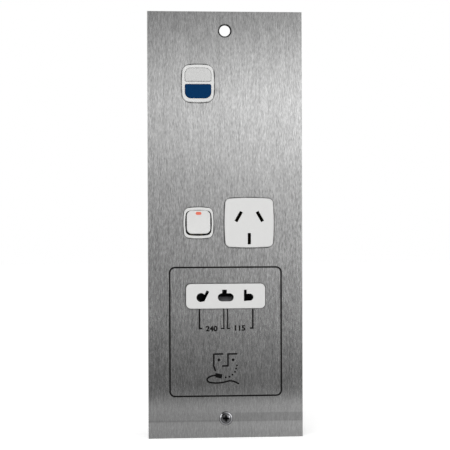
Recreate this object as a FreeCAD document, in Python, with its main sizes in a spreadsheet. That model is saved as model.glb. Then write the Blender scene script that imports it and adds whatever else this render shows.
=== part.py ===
"""Stainless wall plate with a leakage breaker, a switched outlet and a shaver outlet.

X runs to the right, Z up and Y into the wall. The origin is the centre of the top fixing
hole, on the plate's back face. A piece's height on the plate is its drop below that hole.
"""

import FreeCAD, Part
import math
import os
from types import SimpleNamespace

import Sketcher

V = FreeCAD.Vector

SIZES = {
    # Faceplate
    "plate_side_margin": "3",
    "plate_end_margin": "12.5",
    "fixing_gap": "12",
    "plate_thickness": "1.2",
    "plate_edge_break": "0.2",
    "fixing_hole": "7",
    "fixing_flare": "0.65",
    "cutout_clearance": "0.15",
    "engraving_depth": "0.2",
    "border_width": "72.1",
    "border_height": "83.1",
    "border_radius": "3.8",
    "border_fall": "22.95",
    "border_line": "0.75",
    "bracket_line": "0.6",
    "bracket_left": "16.95",
    "bracket_right": "17.6",
    "bracket_inner": "1.2",
    "bracket_stub": "1.9",
    "bracket_length": "13.2",
    "stud_diameter": "3",
    "stud_clearance": "0.2",
    "nut_across_flats": "5.5",
    "nut_height": "2.4",
    "earth_stud_diameter": "4",
    "earth_stud_length": "8",
    "earth_stud_offset": "30",
    "earth_stud_rise": "3",
    "earth_tag_length": "7",
    "earth_tag_thickness": "0.8",
    "earth_nut_across_flats": "7",
    "earth_nut_height": "3.2",
    # Captive fixing screw
    "screw_dome": "1.1",
    "screw_thread": "4",
    "screw_waist": "3.2",
    "screw_waist_length": "1.8",
    "screw_length": "25",
    "screw_seat_clearance": "0.05",
    "recess_span": "4.4",
    "recess_width": "1.1",
    "recess_depth": "1.9",
    "retainer_diameter": "9",
    "retainer_thickness": "1",
    # Carrier behind the three modules
    "carrier_margin": "3.6",
    "carrier_end_margin": "1.4",
    "carrier_gap": "3",
    "carrier_nut_room": "6",
    "carrier_thickness": "4.5",
    "carrier_corner": "4",
    "carrier_stud_inset": "5",
    "carrier_cell_width": "25.5",
    "carrier_cell_gap": "2.7",
    "carrier_cell_height": "24",
    "carrier_cell_web": "1.5",
    "carrier_rib": "3",
    "flange_thickness": "2",
    "flange_margin": "2.5",
    "flange_corner": "2.5",
    "seat_clearance": "0.2",
    "neck_wall": "1.2",
    # Module housings
    "box_wall": "1.8",
    "box_corner": "2",
    "ear_length": "6",
    "ear_width": "11",
    "ear_thickness": "2.5",
    "module_screw": "2.4",
    "module_screw_head": "4.6",
    "module_screw_head_height": "1.6",
    "pillar_size": "6",
    "pillar_length": "8",
    "pillar_flange": "8.4",
    "pillar_flange_thickness": "2",
    "pillar_clearance": "0.1",
    "wire_hole": "3.2",
    "clamp_screw": "3",
    "clamp_screw_length": "4",
    "driver_slot": "0.7",
    # Leakage breaker
    "breaker_offset": "17.4",
    "breaker_drop": "34",
    "breaker_side_rim": "2.15",
    "breaker_top_rim": "2.3",
    "breaker_foot_rim": "2.75",
    "breaker_proud": "1",
    "breaker_bulge": "0.9",
    "breaker_corner": "4.4",
    "breaker_edge": "0.8",
    "button_width": "16.7",
    "reset_height": "8.5",
    "test_height": "8.9",
    "button_bar": "1.95",
    "button_proud": "0.5",
    "button_corner": "3.9",
    "button_small_corner": "0.9",
    "button_gap": "0.2",
    "button_edge": "0.4",
    "button_travel": "2",
    "shoulder_step": "0.8",
    "shoulder_thickness": "1.2",
    "shoulder_seat": "0.3",
    "stem_diameter": "3.2",
    "breaker_box_width": "30",
    "breaker_box_height": "50",
    "breaker_box_depth": "34",
    "board_front": "10",
    "board_thickness": "1.6",
    "board_post": "4",
    "board_gap": "1",
    "inside_gap": "0.5",
    "toroid_outer": "17",
    "toroid_inner": "8.5",
    "toroid_length": "7",
    "trip_bobbin_size": "10",
    "trip_bobbin_length": "15",
    "trip_bobbin_wall": "1",
    "trip_bore": "3.6",
    "trip_plunger_length": "20",
    "arm_width": "4",
    "arm_thickness": "0.5",
    "spring_wire": "0.5",
    "spring_gap": "0.35",
    "spring_turns": "4",
    # Switch and flat-pin outlet, side by side
    "outlet_drop": "123.65",
    "module_gap": "7.1",
    "switch_side_rim": "1.1",
    "switch_end_rim": "1.75",
    "switch_proud": "1",
    "switch_bulge": "0.8",
    "switch_corner": "3.4",
    "switch_edge": "0.5",
    "rocker_width": "15.2",
    "rocker_height": "15",
    "rocker_bulge": "0.6",
    "rocker_corner": "3.4",
    "rocker_side_gap": "1",
    "rocker_end_gap": "0.8",
    "rocker_proud": "1.6",
    "rocker_edge": "0.6",
    "rocker_wall": "1.4",
    "rocker_skirt": "1.5",
    "rocker_tilt": "5",
    "pivot_depth": "3",
    "trunnion_diameter": "2.4",
    "trunnion_length": "2.1",
    "pivot_clearance": "0.05",
    "marker_width": "3.7",
    "marker_height": "1.9",
    "marker_rise": "5.6",
    "marker_depth": "0.6",
    "tube_diameter": "5.4",
    "tube_bore": "3.6",
    "tube_end": "8",
    "plunger_reach": "4",
    "neck_side_gap": "0.4",
    "opening_bulge": "0.7",
    "opening_corner": "3.2",
    "neck_end_gap": "3.7",
    "terminal_gap": "2",
    "plunger_clearance": "0.1",
    "switch_box_depth": "25",
    "seesaw_width": "4",
    "seesaw_gap": "0.5",
    "seesaw_end": "0.5",
    "seesaw_thickness": "0.8",
    "seesaw_roll": "2",
    "seesaw_tilt": "6",
    "rivet_diameter": "3",
    "rivet_height": "0.8",
    # Flat-pin outlet
    "socket_rim": "2.1",
    "socket_side_trim": "0.1",
    "socket_box_side_gap": "4.15",
    "socket_box_end_gap": "1.7",
    "socket_proud": "1.6",
    "socket_bulge": "0.7",
    "socket_corner": "3.2",
    "socket_edge": "0.6",
    "pin_radius_line": "7.92",
    "pin_radius_earth": "10.31",
    "pin_slot_length": "7.3",
    "pin_slot_width": "2.1",
    "pin_slot_tilt": "30",
    "socket_box_depth": "22",
    "clip_gap": "1.7",
    "clip_thickness": "0.6",
    "clip_width": "6.6",
    "clip_length": "11",
    # Shaver outlet
    "insert_fall": "47.3",
    "insert_width": "51.2",
    "insert_height": "16",
    "insert_proud": "1.4",
    "insert_corner": "3.2",
    "insert_edge": "0.5",
    "hole_fall": "0.75",
    "round_hole": "5.8",
    "round_hole_offset": "16",
    "blade_offset": "13.1",
    "blade_rise": "0.2",
    "blade_tilt": "27",
    "blade_length": "7.2",
    "blade_width": "1.9",
    "oval_length": "10.3",
    "oval_height": "5.2",
    "notch_offset": "0.8",
    "notch_width": "3",
    "notch_top": "4.2",
    "flat_slot_offset": "12.65",
    "flat_slot_width": "1.8",
    "flat_slot_height": "7.3",
    "flat_slot_rise": "0.45",
    "flat_round_end": "17.9",
    "flat_round_height": "4.5",
    "base_side_margin": "1.9",
    "base_top_wall": "3.1",
    "base_foot_wall": "2.75",
    "base_depth": "19.5",
    "well_clearance": "0.2",
    "well_floor": "3",
    "leaf_width": "4",
    "leaf_thickness": "0.5",
    "leaf_tail": "4",
    "shutter_cover": "0.55",
    "shutter_height": "5",
    "shutter_depth": "4",
    "shutter_clearance": "0.2",
    "shutter_spring_height": "6",
    # Transformer housing
    "case_wall": "2",
    "case_side_gap": "2.5",
    "case_foot_gap": "4",
    "case_back_gap": "2.8",
    "case_lug_inset": "14",
    "case_corner": "3",
    "case_lug_reach": "9",
    "case_lug_width": "11",
    "case_lug_thickness": "3",
    "cover_thickness": "2.5",
    "cover_boss": "6",
    "cover_screw": "2.8",
    "cover_screw_head": "5.4",
    "cover_screw_head_height": "1.8",
    "cover_screw_length": "12",
    "vent_width": "2",
    "vent_length": "26",
    "vent_spacing": "5.2",
    "vent_pitch": "5",
    "core_stack": "16",
    "core_limb": "8",
    "core_gap": "3.55",
    "coil_front_gap": "1.8",
    "core_hole": "3.4",
    "core_hole_inset": "4",
    "core_screw": "3",
    "core_post": "7",
    "bobbin_clearance": "0.2",
    "bobbin_wall": "1",
    "bobbin_flange": "1.2",
    "bobbin_side_gap": "0.3",
    "coil_side_gap": "0.4",
    "coil_lip": "0.1",
    "coil_corner": "2",
    "cutout_length": "12",
    "cutout_width": "6",
    "cutout_thickness": "3",
    "mains_pitch": "14",
    "mains_fall": "5",
}


class Size:
    """A length that knows its value and the sheet expression it comes from."""

    def __init__(self, value, text):
        self.value = value
        self.text = text

    def __add__(self, other):
        other = as_size(other)
        return Size(self.value + other.value, f"({self.text} + {other.text})")

    def __sub__(self, other):
        other = as_size(other)
        return Size(self.value - other.value, f"({self.text} - {other.text})")

    def __mul__(self, other):
        other = as_size(other)
        return Size(self.value * other.value, f"({self.text} * {other.text})")

    def __truediv__(self, other):
        other = as_size(other)
        return Size(self.value / other.value, f"({self.text} / {other.text})")

    def __neg__(self):
        return Size(-self.value, f"(0 - {self.text})")

    def __radd__(self, other):
        return as_size(other) + self

    def __rsub__(self, other):
        return as_size(other) - self

    def __rmul__(self, other):
        return as_size(other) * self


def as_size(number):
    """The number itself if it is a Size, or a Size that holds a plain number."""
    if isinstance(number, Size):
        return number
    return Size(float(number), f"({number:g})")


def sine(angle):
    """Sine of an angle in degrees."""
    return Size(math.sin(math.radians(angle.value)), f"sin({angle.text} * 1deg)")


def cosine(angle):
    """Cosine of an angle in degrees."""
    return Size(math.cos(math.radians(angle.value)), f"cos({angle.text} * 1deg)")


def largest(first, second):
    """The larger of two sizes."""
    return Size(max(first.value, second.value), f"max({first.text}; {second.text})")


doc = FreeCAD.newDocument("ShaverOutletPlate")
sheet = doc.addObject("Spreadsheet::Sheet", "Sizes")
for row, (alias, number) in enumerate(SIZES.items(), start=1):
    sheet.set(f"A{row}", number)
    sheet.setAlias(f"A{row}", alias)
doc.recompute()
dim = SimpleNamespace(**{a: Size(float(n), f"Sizes.{a}") for a, n in SIZES.items()})

nodes = []


def keep(thing, label):
    """Registers a finished sub-part under the name of its file."""
    thing.Label = label
    nodes.append(thing)
    return thing


def bind(thing, path, size):
    """Ties one property of an object to the sheet."""
    thing.setExpression(path, as_size(size).text)


def place(thing, x=0, y=0, z=0):
    """Ties an object's position to the sheet."""
    bind(thing, "Placement.Base.x", x)
    bind(thing, "Placement.Base.y", y)
    bind(thing, "Placement.Base.z", z)


# Outlines, each a list of (across, up) corners and the radii of its round edges


def path(points, arcs=None):
    """An outline through the points; arcs maps an edge's number to its radius."""
    return [(points, arcs or {})]


def rectangle(width, height, across=0, up=0):
    """A rectangle round a centre."""
    across, up = as_size(across), as_size(up)
    a, b = width / 2, height / 2
    return path([(across - a, up - b), (across + a, up - b), (across + a, up + b), (across - a, up + b)])


def rounded(width, height, top, bottom=None, across=0, up=0):
    """A rectangle with one corner radius at the top and one at the bottom."""
    bottom = top if bottom is None else bottom
    across, up = as_size(across), as_size(up)
    a, b = width / 2, height / 2
    points = [
        (across - a + bottom, up - b),
        (across + a - bottom, up - b),
        (across + a, up - b + bottom),
        (across + a, up + b - top),
        (across + a - top, up + b),
        (across - a + top, up + b),
        (across - a, up + b - top),
        (across - a, up - b + bottom),
    ]
    return path(points, {1: bottom, 3: top, 5: top, 7: bottom})


def pillow(width, height, bulge, across=0, up=0):
    """A square with gently bowed sides; its corners are rounded later by a fillet."""
    across, up = as_size(across), as_size(up)
    a, b = width / 2 - bulge, height / 2 - bulge
    flat = (a * a + bulge * bulge) / (bulge * 2)
    upright = (b * b + bulge * bulge) / (bulge * 2)
    points = [(across - a, up - b), (across + a, up - b), (across + a, up + b), (across - a, up + b)]
    return path(points, {0: flat, 1: upright, 2: flat, 3: upright})


def stadium(length, height, across=0, up=0):
    """A slot with half-round ends."""
    across, up = as_size(across), as_size(up)
    a, r = (length - height) / 2, height / 2
    points = [(across - a, up - r), (across + a, up - r), (across + a, up + r), (across - a, up + r)]
    return path(points, {1: r, 3: r})


def blade(length, width, tilt, across=0, up=0):
    """A narrow rectangle whose top leans to the right by an angle."""
    across, up = as_size(across), as_size(up)
    c, s = cosine(tilt), sine(tilt)
    corners = []
    for side, end in ((-1, -1), (1, -1), (1, 1), (-1, 1)):
        x, y = width / 2 * side, length / 2 * end
        corners.append((across + x * c + y * s, up - x * s + y * c))
    return path(corners)


def disc(diameter, across=0, up=0):
    """A circle."""
    return [("disc", diameter / 2, as_size(across), as_size(up))]


class Drawing:
    """Geometry for one sketch, with every corner, radius and centre tied to the sheet."""

    def __init__(self):
        self.geometry = []
        self.constraints = []
        self.expressions = []

    def tie(self, kind, size, *points):
        """Adds a sized constraint and remembers the expression that drives it."""
        self.expressions.append((len(self.constraints), size.text))
        self.constraints.append(Sketcher.Constraint(kind, *points, size.value))

    def pin(self, geometry, position, across, up):
        """Ties one point to the sheet, measured from the sketch's origin."""
        self.tie("DistanceX", as_size(across), -1, 1, geometry, position)
        self.tie("DistanceY", as_size(up), -1, 1, geometry, position)

    def add_disc(self, radius, across, up):
        """Adds a circle."""
        number = len(self.geometry)
        self.geometry.append(Part.Circle(V(across.value, up.value, 0), V(0, 0, 1), radius.value))
        self.pin(number, 3, across, up)
        self.tie("Radius", radius, number)

    def add_path(self, points, arcs):
        """Adds a closed outline of straight and round edges."""
        points = [(as_size(a), as_size(b)) for a, b in points]
        first, count = len(self.geometry), len(points)
        for i, (across, up) in enumerate(points):
            edge, following = first + i, first + (i + 1) % count
            ahead = points[(i + 1) % count]
            start, end = V(across.value, up.value, 0), V(ahead[0].value, ahead[1].value, 0)
            radius = arcs.get(i)
            self.constraints.append(Sketcher.Constraint("Coincident", edge, 2, following, 1))
            self.pin(edge, 1, across, up)
            if radius is None:
                self.geometry.append(Part.LineSegment(start, end))
                continue
            self.geometry.append(round_edge(start, end, radius.value))
            if (end - start).Length > radius.value * 1.999:
                self.tie("DistanceX", across, -1, 1, edge, 3)
            else:
                self.tie("Radius", radius, edge)

    def apply(self, sketch):
        """Puts the geometry and its constraints into a sketch."""
        sketch.addGeometry(self.geometry, False)
        sketch.addConstraint(self.constraints)
        for number, text in self.expressions:
            sketch.setExpression(f"Constraints[{number}]", text)


def draw(sketch, outline):
    """Draws outlines in a sketch."""
    drawing = Drawing()
    for item in outline:
        if item[0] == "disc":
            drawing.add_disc(*item[1:])
        else:
            drawing.add_path(*item)
    drawing.apply(sketch)


def round_edge(start, end, radius):
    """An arc that bows to the right of the way from start to end, for a convex outline."""
    chord = end - start
    half = chord.Length / 2
    side = V(-chord.y, chord.x, 0).normalize()
    centre = start + chord * 0.5 + side * math.sqrt(max(radius * radius - half * half, 0))
    angles = [math.atan2(p.y - centre.y, p.x - centre.x) for p in (start, end)]
    return Part.ArcOfCircle(Part.Circle(centre, V(0, 0, 1), radius), *angles)


# Picking edges by where they lie


def runs_inward(edge):
    """True for a straight edge along Y."""
    a, b = edge.Vertexes[0].Point, edge.Vertexes[-1].Point
    return abs(a.x - b.x) < 1e-4 and abs(a.z - b.z) < 1e-4 and abs(a.y - b.y) > 1e-3


def at_depth(depth):
    """Picks the edges that lie in one plane across Y."""
    value = as_size(depth).value

    def lies(edge):
        spots = [v.Point.y for v in edge.Vertexes] + [edge.CenterOfMass.y]
        return all(abs(y - value) < 1e-3 for y in spots)

    return lies


def hole_rim(diameter, depth):
    """Picks the round rims of one diameter at one depth."""
    radius, level = as_size(diameter).value / 2, as_size(depth).value

    def lies(edge):
        circle = isinstance(edge.Curve, Part.Circle)
        return circle and abs(edge.Curve.Radius - radius) < 1e-3 and abs(edge.CenterOfMass.y - level) < 1e-3

    return lies


def outer_corners(reach, across=0, up=0):
    """Picks the inward edges that lie within reach of the four corners round a centre."""
    across, up = as_size(across).value, as_size(up).value
    half_width, half_height = as_size(reach[0]).value, as_size(reach[1]).value

    def lies(edge):
        spot = edge.CenterOfMass
        x, z = abs(abs(spot.x - across) - half_width), abs(abs(spot.z - up) - half_height)
        return runs_inward(edge) and x < 0.01 and z < 0.01

    return lies


def box_corners(width, height, bulge, across=0, up=0):
    """Picks the corner edges of a pillow outline."""
    return outer_corners((width / 2 - bulge, height / 2 - bulge), across, up)


class Moulding:
    """A PartDesign body built from outlines that run along one of its axes."""

    def __init__(self, label, x=0, y=0, z=0, node=True):
        self.body = doc.addObject("PartDesign::Body", label)
        self.label = label
        place(self.body, x, y, z)
        self.planes = {f.Role: f for f in self.body.Origin.OriginFeatures}
        if node:
            keep(self.body, label)

    def sketch(self, outline, plane, lift=0):
        """A sketch on one of the body's planes, lifted along the plane's normal."""
        made = self.body.newObject("Sketcher::SketchObject", f"{self.label}_outline")
        made.AttachmentSupport = [(self.planes[plane], "")]
        made.MapMode = "FlatFace"
        bind(made, "AttachmentOffset.Base.z", lift)
        draw(made, outline)
        return made

    def feature(self, kind, sketch, length):
        made = self.body.newObject(f"PartDesign::{kind}", f"{self.label}_{kind.lower()}")
        made.Profile = sketch
        bind(made, "Length", length)
        return made

    def slab(self, outline, low, high, along="y"):
        """Adds an outline's material between two values on an axis."""
        low, high = as_size(low), as_size(high)
        plane, lift = {"y": ("XZ_Plane", -high), "z": ("XY_Plane", low), "x": ("YZ_Plane", low)}[along]
        return self.feature("Pad", self.sketch(outline, plane, lift), high - low)

    def cut(self, outline, low, high, along="y"):
        """Removes an outline's material between two values on an axis."""
        low, high = as_size(low), as_size(high)
        plane, lift = {"y": ("XZ_Plane", -low), "z": ("XY_Plane", high), "x": ("YZ_Plane", high)}[along]
        return self.feature("Pocket", self.sketch(outline, plane, lift), high - low)

    def turn(self, points, arcs=None):
        """Revolves a half profile of (depth, radius) points about the Y axis."""
        sketch = self.sketch(path(points, arcs), "YZ_Plane")
        made = self.body.newObject("PartDesign::Revolution", f"{self.label}_turn")
        made.Profile = sketch
        made.ReferenceAxis = (sketch, ["H_Axis"])
        made.Angle = 360
        return made

    def dress(self, kind, size, pick):
        """Rounds or breaks the edges that pick chooses."""
        doc.recompute()
        base = self.body.Tip
        names = [f"Edge{i}" for i, e in enumerate(base.Shape.Edges, start=1) if pick(e)]
        if not names:
            raise ValueError(f"{self.label}: no edge to dress")
        made = self.body.newObject(f"PartDesign::{kind}", f"{self.label}_{kind.lower()}")
        made.Base = (base, names)
        bind(made, "Radius" if kind == "Fillet" else "Size", size)
        return made

    def fillet(self, radius, pick):
        """Rounds the edges that pick chooses."""
        return self.dress("Fillet", radius, pick)

    def chamfer(self, size, pick):
        """Breaks the edges that pick chooses."""
        return self.dress("Chamfer", size, pick)


# Plain solids from primitives


def block(name, x, y, z):
    """A box between two values on each axis."""
    made = doc.addObject("Part::Box", name)
    for prop, axis, (low, high) in zip(("Length", "Width", "Height"), "xyz", (x, y, z)):
        bind(made, prop, as_size(high) - low)
        bind(made, f"Placement.Base.{axis}", low)
    return made


TURNS = {
    "x": FreeCAD.Rotation(V(0, 1, 0), 90),
    "y": FreeCAD.Rotation(V(1, 0, 0), -90),
    "z": FreeCAD.Rotation(),
}


def rod(name, axis, diameter, start, end, x=0, y=0, z=0):
    """A cylinder along one axis, from start to end, through the other two values."""
    made = doc.addObject("Part::Cylinder", name)
    made.Placement = FreeCAD.Placement(V(), TURNS[axis])
    bind(made, "Radius", diameter / 2)
    bind(made, "Height", as_size(end) - start)
    spot = {"x": x, "y": y, "z": z, axis: start}
    place(made, **spot)
    return made


def hexagon(name, across_flats, start, end, x, z):
    """A hexagonal prism along Y, for a nut."""
    made = doc.addObject("Part::Prism", name)
    made.Polygon = 6
    made.Placement = FreeCAD.Placement(V(), TURNS["y"])
    bind(made, "Circumradius", across_flats * (1 / math.sqrt(3)))
    bind(made, "Height", as_size(end) - start)
    place(made, x, start, z)
    return made


def joined(name, shapes):
    """Solids fused into one."""
    made = doc.addObject("Part::MultiFuse", name)
    made.Shapes = shapes
    return made


def bored(name, base, tool):
    """One solid less another."""
    made = doc.addObject("Part::Cut", name)
    made.Base = base
    made.Tool = tool
    return made


def together(name, items):
    """Like pieces kept in one sub-part as separate solids."""
    made = doc.addObject("Part::Compound", name)
    made.Links = items
    return made


# Sizes that follow from the ones above, from the front of each module to what holds it

FRONT = -dim.plate_thickness
CLEAR = dim.cutout_clearance
CARRIER_BACK = dim.carrier_thickness
BREAKER_FACE = FRONT - dim.breaker_proud
SWITCH_FACE = FRONT - dim.switch_proud
SOCKET_FACE = FRONT - dim.socket_proud
INSERT_FACE = FRONT - dim.insert_proud
SCREW_PILOT = dim.module_screw + dim.seat_clearance / 2
BREAKER_BACK = dim.breaker_box_depth
SWITCH_BACK = dim.switch_box_depth
SOCKET_BACK = dim.socket_box_depth

BREAKER_WIDTH = dim.button_width + dim.breaker_side_rim * 2
BREAKER_HEIGHT = (dim.breaker_top_rim + dim.reset_height + dim.button_bar + dim.test_height
                  + dim.breaker_foot_rim)
RESET_UP = BREAKER_HEIGHT / 2 - dim.breaker_top_rim - dim.reset_height / 2
TEST_UP = dim.breaker_foot_rim + dim.test_height / 2 - BREAKER_HEIGHT / 2
SHOULDER_FRONT = dim.flange_thickness - dim.shoulder_thickness + dim.shoulder_seat
SHOULDER_BACK = SHOULDER_FRONT + dim.shoulder_thickness
BOARD_BACK = dim.board_front + dim.board_thickness
PILLAR_HALF = dim.pillar_flange / 2
BREAKER_PILLAR_ACROSS = dim.breaker_box_width / 2 - dim.box_wall - PILLAR_HALF - dim.inside_gap * 3
BREAKER_PILLAR_UP = (dim.breaker_box_height / 2 - dim.box_wall - dim.board_post - PILLAR_HALF
                     - dim.board_gap)

OPENING_WIDTH = dim.rocker_width + dim.rocker_side_gap * 2
OPENING_HEIGHT = dim.rocker_height + dim.rocker_end_gap * 2
SWITCH_WIDTH = OPENING_WIDTH + dim.switch_side_rim * 2
SWITCH_HEIGHT = OPENING_HEIGHT + dim.switch_end_rim * 2
SWITCH_BOX_WIDTH = OPENING_WIDTH + (dim.neck_wall + dim.neck_side_gap + dim.box_wall) * 2
SWITCH_BOX_HEIGHT = OPENING_HEIGHT + (dim.neck_wall + dim.neck_end_gap + dim.box_wall) * 2
SWITCH_PILLAR_UP = SWITCH_BOX_HEIGHT / 2 - dim.box_wall - PILLAR_HALF - dim.terminal_gap
SEESAW_LENGTH = (SWITCH_PILLAR_UP + dim.rivet_diameter / 2 + dim.seesaw_end) * 2
PLUNGER_TIP = dim.tube_end + dim.plunger_reach
SEESAW_AXIS = PLUNGER_TIP + dim.seesaw_gap + dim.seesaw_thickness
ROCKER_FRONT = SWITCH_FACE - dim.rocker_proud - dim.pivot_depth

PIN_ACROSS = dim.pin_radius_line * sine(dim.pin_slot_tilt * 2)
PIN_RISE = dim.pin_radius_line * cosine(dim.pin_slot_tilt * 2)
SOCKET_HEIGHT = (dim.pin_radius_earth + dim.pin_slot_length / 2 + dim.socket_rim) * 2
SOCKET_WIDTH = SOCKET_HEIGHT - dim.socket_side_trim * 2
SOCKET_OFFSET = SWITCH_WIDTH / 2 + dim.module_gap + SOCKET_WIDTH / 2 - dim.breaker_offset
SOCKET_BOX_WIDTH = (PIN_ACROSS + PILLAR_HALF + dim.socket_box_side_gap + dim.box_wall) * 2
SOCKET_BOX_HEIGHT = (dim.pin_radius_earth + PILLAR_HALF + dim.socket_box_end_gap + dim.box_wall) * 2

CARRIER_WIDTH = (largest(dim.breaker_offset + dim.breaker_box_width / 2 + dim.ear_length,
                         SOCKET_OFFSET + SOCKET_BOX_WIDTH / 2 + dim.carrier_nut_room)
                 + dim.carrier_margin) * 2
CARRIER_TOP = dim.breaker_drop - dim.breaker_box_height / 2
CARRIER_FOOT = dim.outlet_drop + SOCKET_BOX_HEIGHT / 2 + dim.ear_length + dim.carrier_end_margin
CARRIER_HEIGHT = CARRIER_FOOT - CARRIER_TOP
CARRIER_DROP = (CARRIER_TOP + CARRIER_FOOT) / 2

INSERT_DROP = dim.outlet_drop + dim.insert_fall
HOLE_UP = -dim.hole_fall
SHUTTER_WIDTH = dim.oval_length + dim.shutter_cover * 2
CHAMBER_WIDTH = SHUTTER_WIDTH + dim.shutter_clearance * 2
CHAMBER_BACK = dim.flange_thickness + dim.shutter_depth + dim.shutter_clearance
SHUTTER_FOOT = HOLE_UP - dim.shutter_height
CHAMBER_FOOT = SHUTTER_FOOT - dim.shutter_spring_height
BASE_TOP = dim.notch_top + dim.well_clearance + dim.base_top_wall
BASE_FOOT = CHAMBER_FOOT - dim.base_foot_wall
BASE_HEIGHT = BASE_TOP - BASE_FOOT
BASE_FALL = -(BASE_TOP + BASE_FOOT) / 2
BASE_WIDTH = dim.insert_width + dim.base_side_margin * 2

CORE_WIDTH = dim.core_limb * 6
CORE_HEIGHT = dim.core_limb * 5
COIL_BUILD = dim.core_limb - dim.bobbin_clearance - dim.bobbin_wall - dim.coil_side_gap
BOBBIN_DEPTH = dim.core_stack + (dim.bobbin_clearance + dim.bobbin_wall + COIL_BUILD + dim.coil_lip) * 2
CASE_FLOOR = dim.case_wall * 2
CORE_MIDDLE = CASE_FLOOR + dim.coil_front_gap + BOBBIN_DEPTH / 2
CORE_FRONT = CORE_MIDDLE - dim.core_stack / 2
CORE_TOP = INSERT_DROP - BASE_FOOT + dim.core_gap + dim.cutout_thickness
CORE_DROP = CORE_TOP + CORE_HEIGHT / 2
CASE_WIDTH = BASE_WIDTH + (dim.ear_length + dim.case_side_gap + dim.case_wall) * 2
CASE_TOP = CARRIER_FOOT + dim.carrier_gap
CASE_BOTTOM = CORE_TOP + CORE_HEIGHT + dim.case_foot_gap + dim.case_wall
CASE_HEIGHT = CASE_BOTTOM - CASE_TOP
CASE_DROP = (CASE_TOP + CASE_BOTTOM) / 2
CASE_DEPTH = CORE_MIDDLE + BOBBIN_DEPTH / 2 + dim.case_back_gap
COVER_BACK = CASE_DEPTH + dim.cover_thickness
CASE_SPREAD = CASE_WIDTH / 2 + dim.case_lug_reach / 2
CASE_STUD_UP = CASE_HEIGHT / 2 - dim.case_lug_inset

FIXING_CENTRES = CASE_BOTTOM + dim.fixing_gap
PLATE_HEIGHT = FIXING_CENTRES + dim.plate_end_margin * 2
PLATE_CENTRE = -FIXING_CENTRES / 2
PLATE_WIDTH = (largest(CASE_WIDTH / 2 + dim.case_lug_reach, CARRIER_WIDTH / 2)
               + dim.plate_side_margin) * 2
EARTH_DROP = FIXING_CENTRES - dim.earth_stud_rise

# Centres of each repeated fixing, as (across, up) on the plate
carrier_spots = [
    (CARRIER_WIDTH / 2 * a - dim.carrier_stud_inset * a,
     CARRIER_HEIGHT / 2 * b - dim.carrier_stud_inset * b - CARRIER_DROP)
    for a, b in ((-1, 1), (1, 1), (-1, -1), (1, -1))
]
case_spots = [
    (CASE_SPREAD * a, CASE_STUD_UP * b - CASE_DROP)
    for a, b in ((-1, 1), (1, 1), (-1, -1), (1, -1))
]


def ear_spots(offset, drop, width, height, sideways):
    """Centres of a housing's two ears, beside it or above and below it."""
    reach = (width if sideways else height) / 2 + dim.ear_length / 2
    spots = []
    for side in (-1, 1):
        across = offset + reach * side if sideways else as_size(offset)
        up = -drop if sideways else reach * side - drop
        spots.append((across, up))
    return spots


breaker_ears = ear_spots(-dim.breaker_offset, dim.breaker_drop, dim.breaker_box_width,
                         dim.breaker_box_height, True)
switch_ears = ear_spots(-dim.breaker_offset, dim.outlet_drop, SWITCH_BOX_WIDTH,
                        SWITCH_BOX_HEIGHT, False)
socket_ears = ear_spots(SOCKET_OFFSET, dim.outlet_drop, SOCKET_BOX_WIDTH,
                        SOCKET_BOX_HEIGHT, False)
base_ears = ear_spots(0, INSERT_DROP + BASE_FALL, BASE_WIDTH, BASE_HEIGHT, True)


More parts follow.
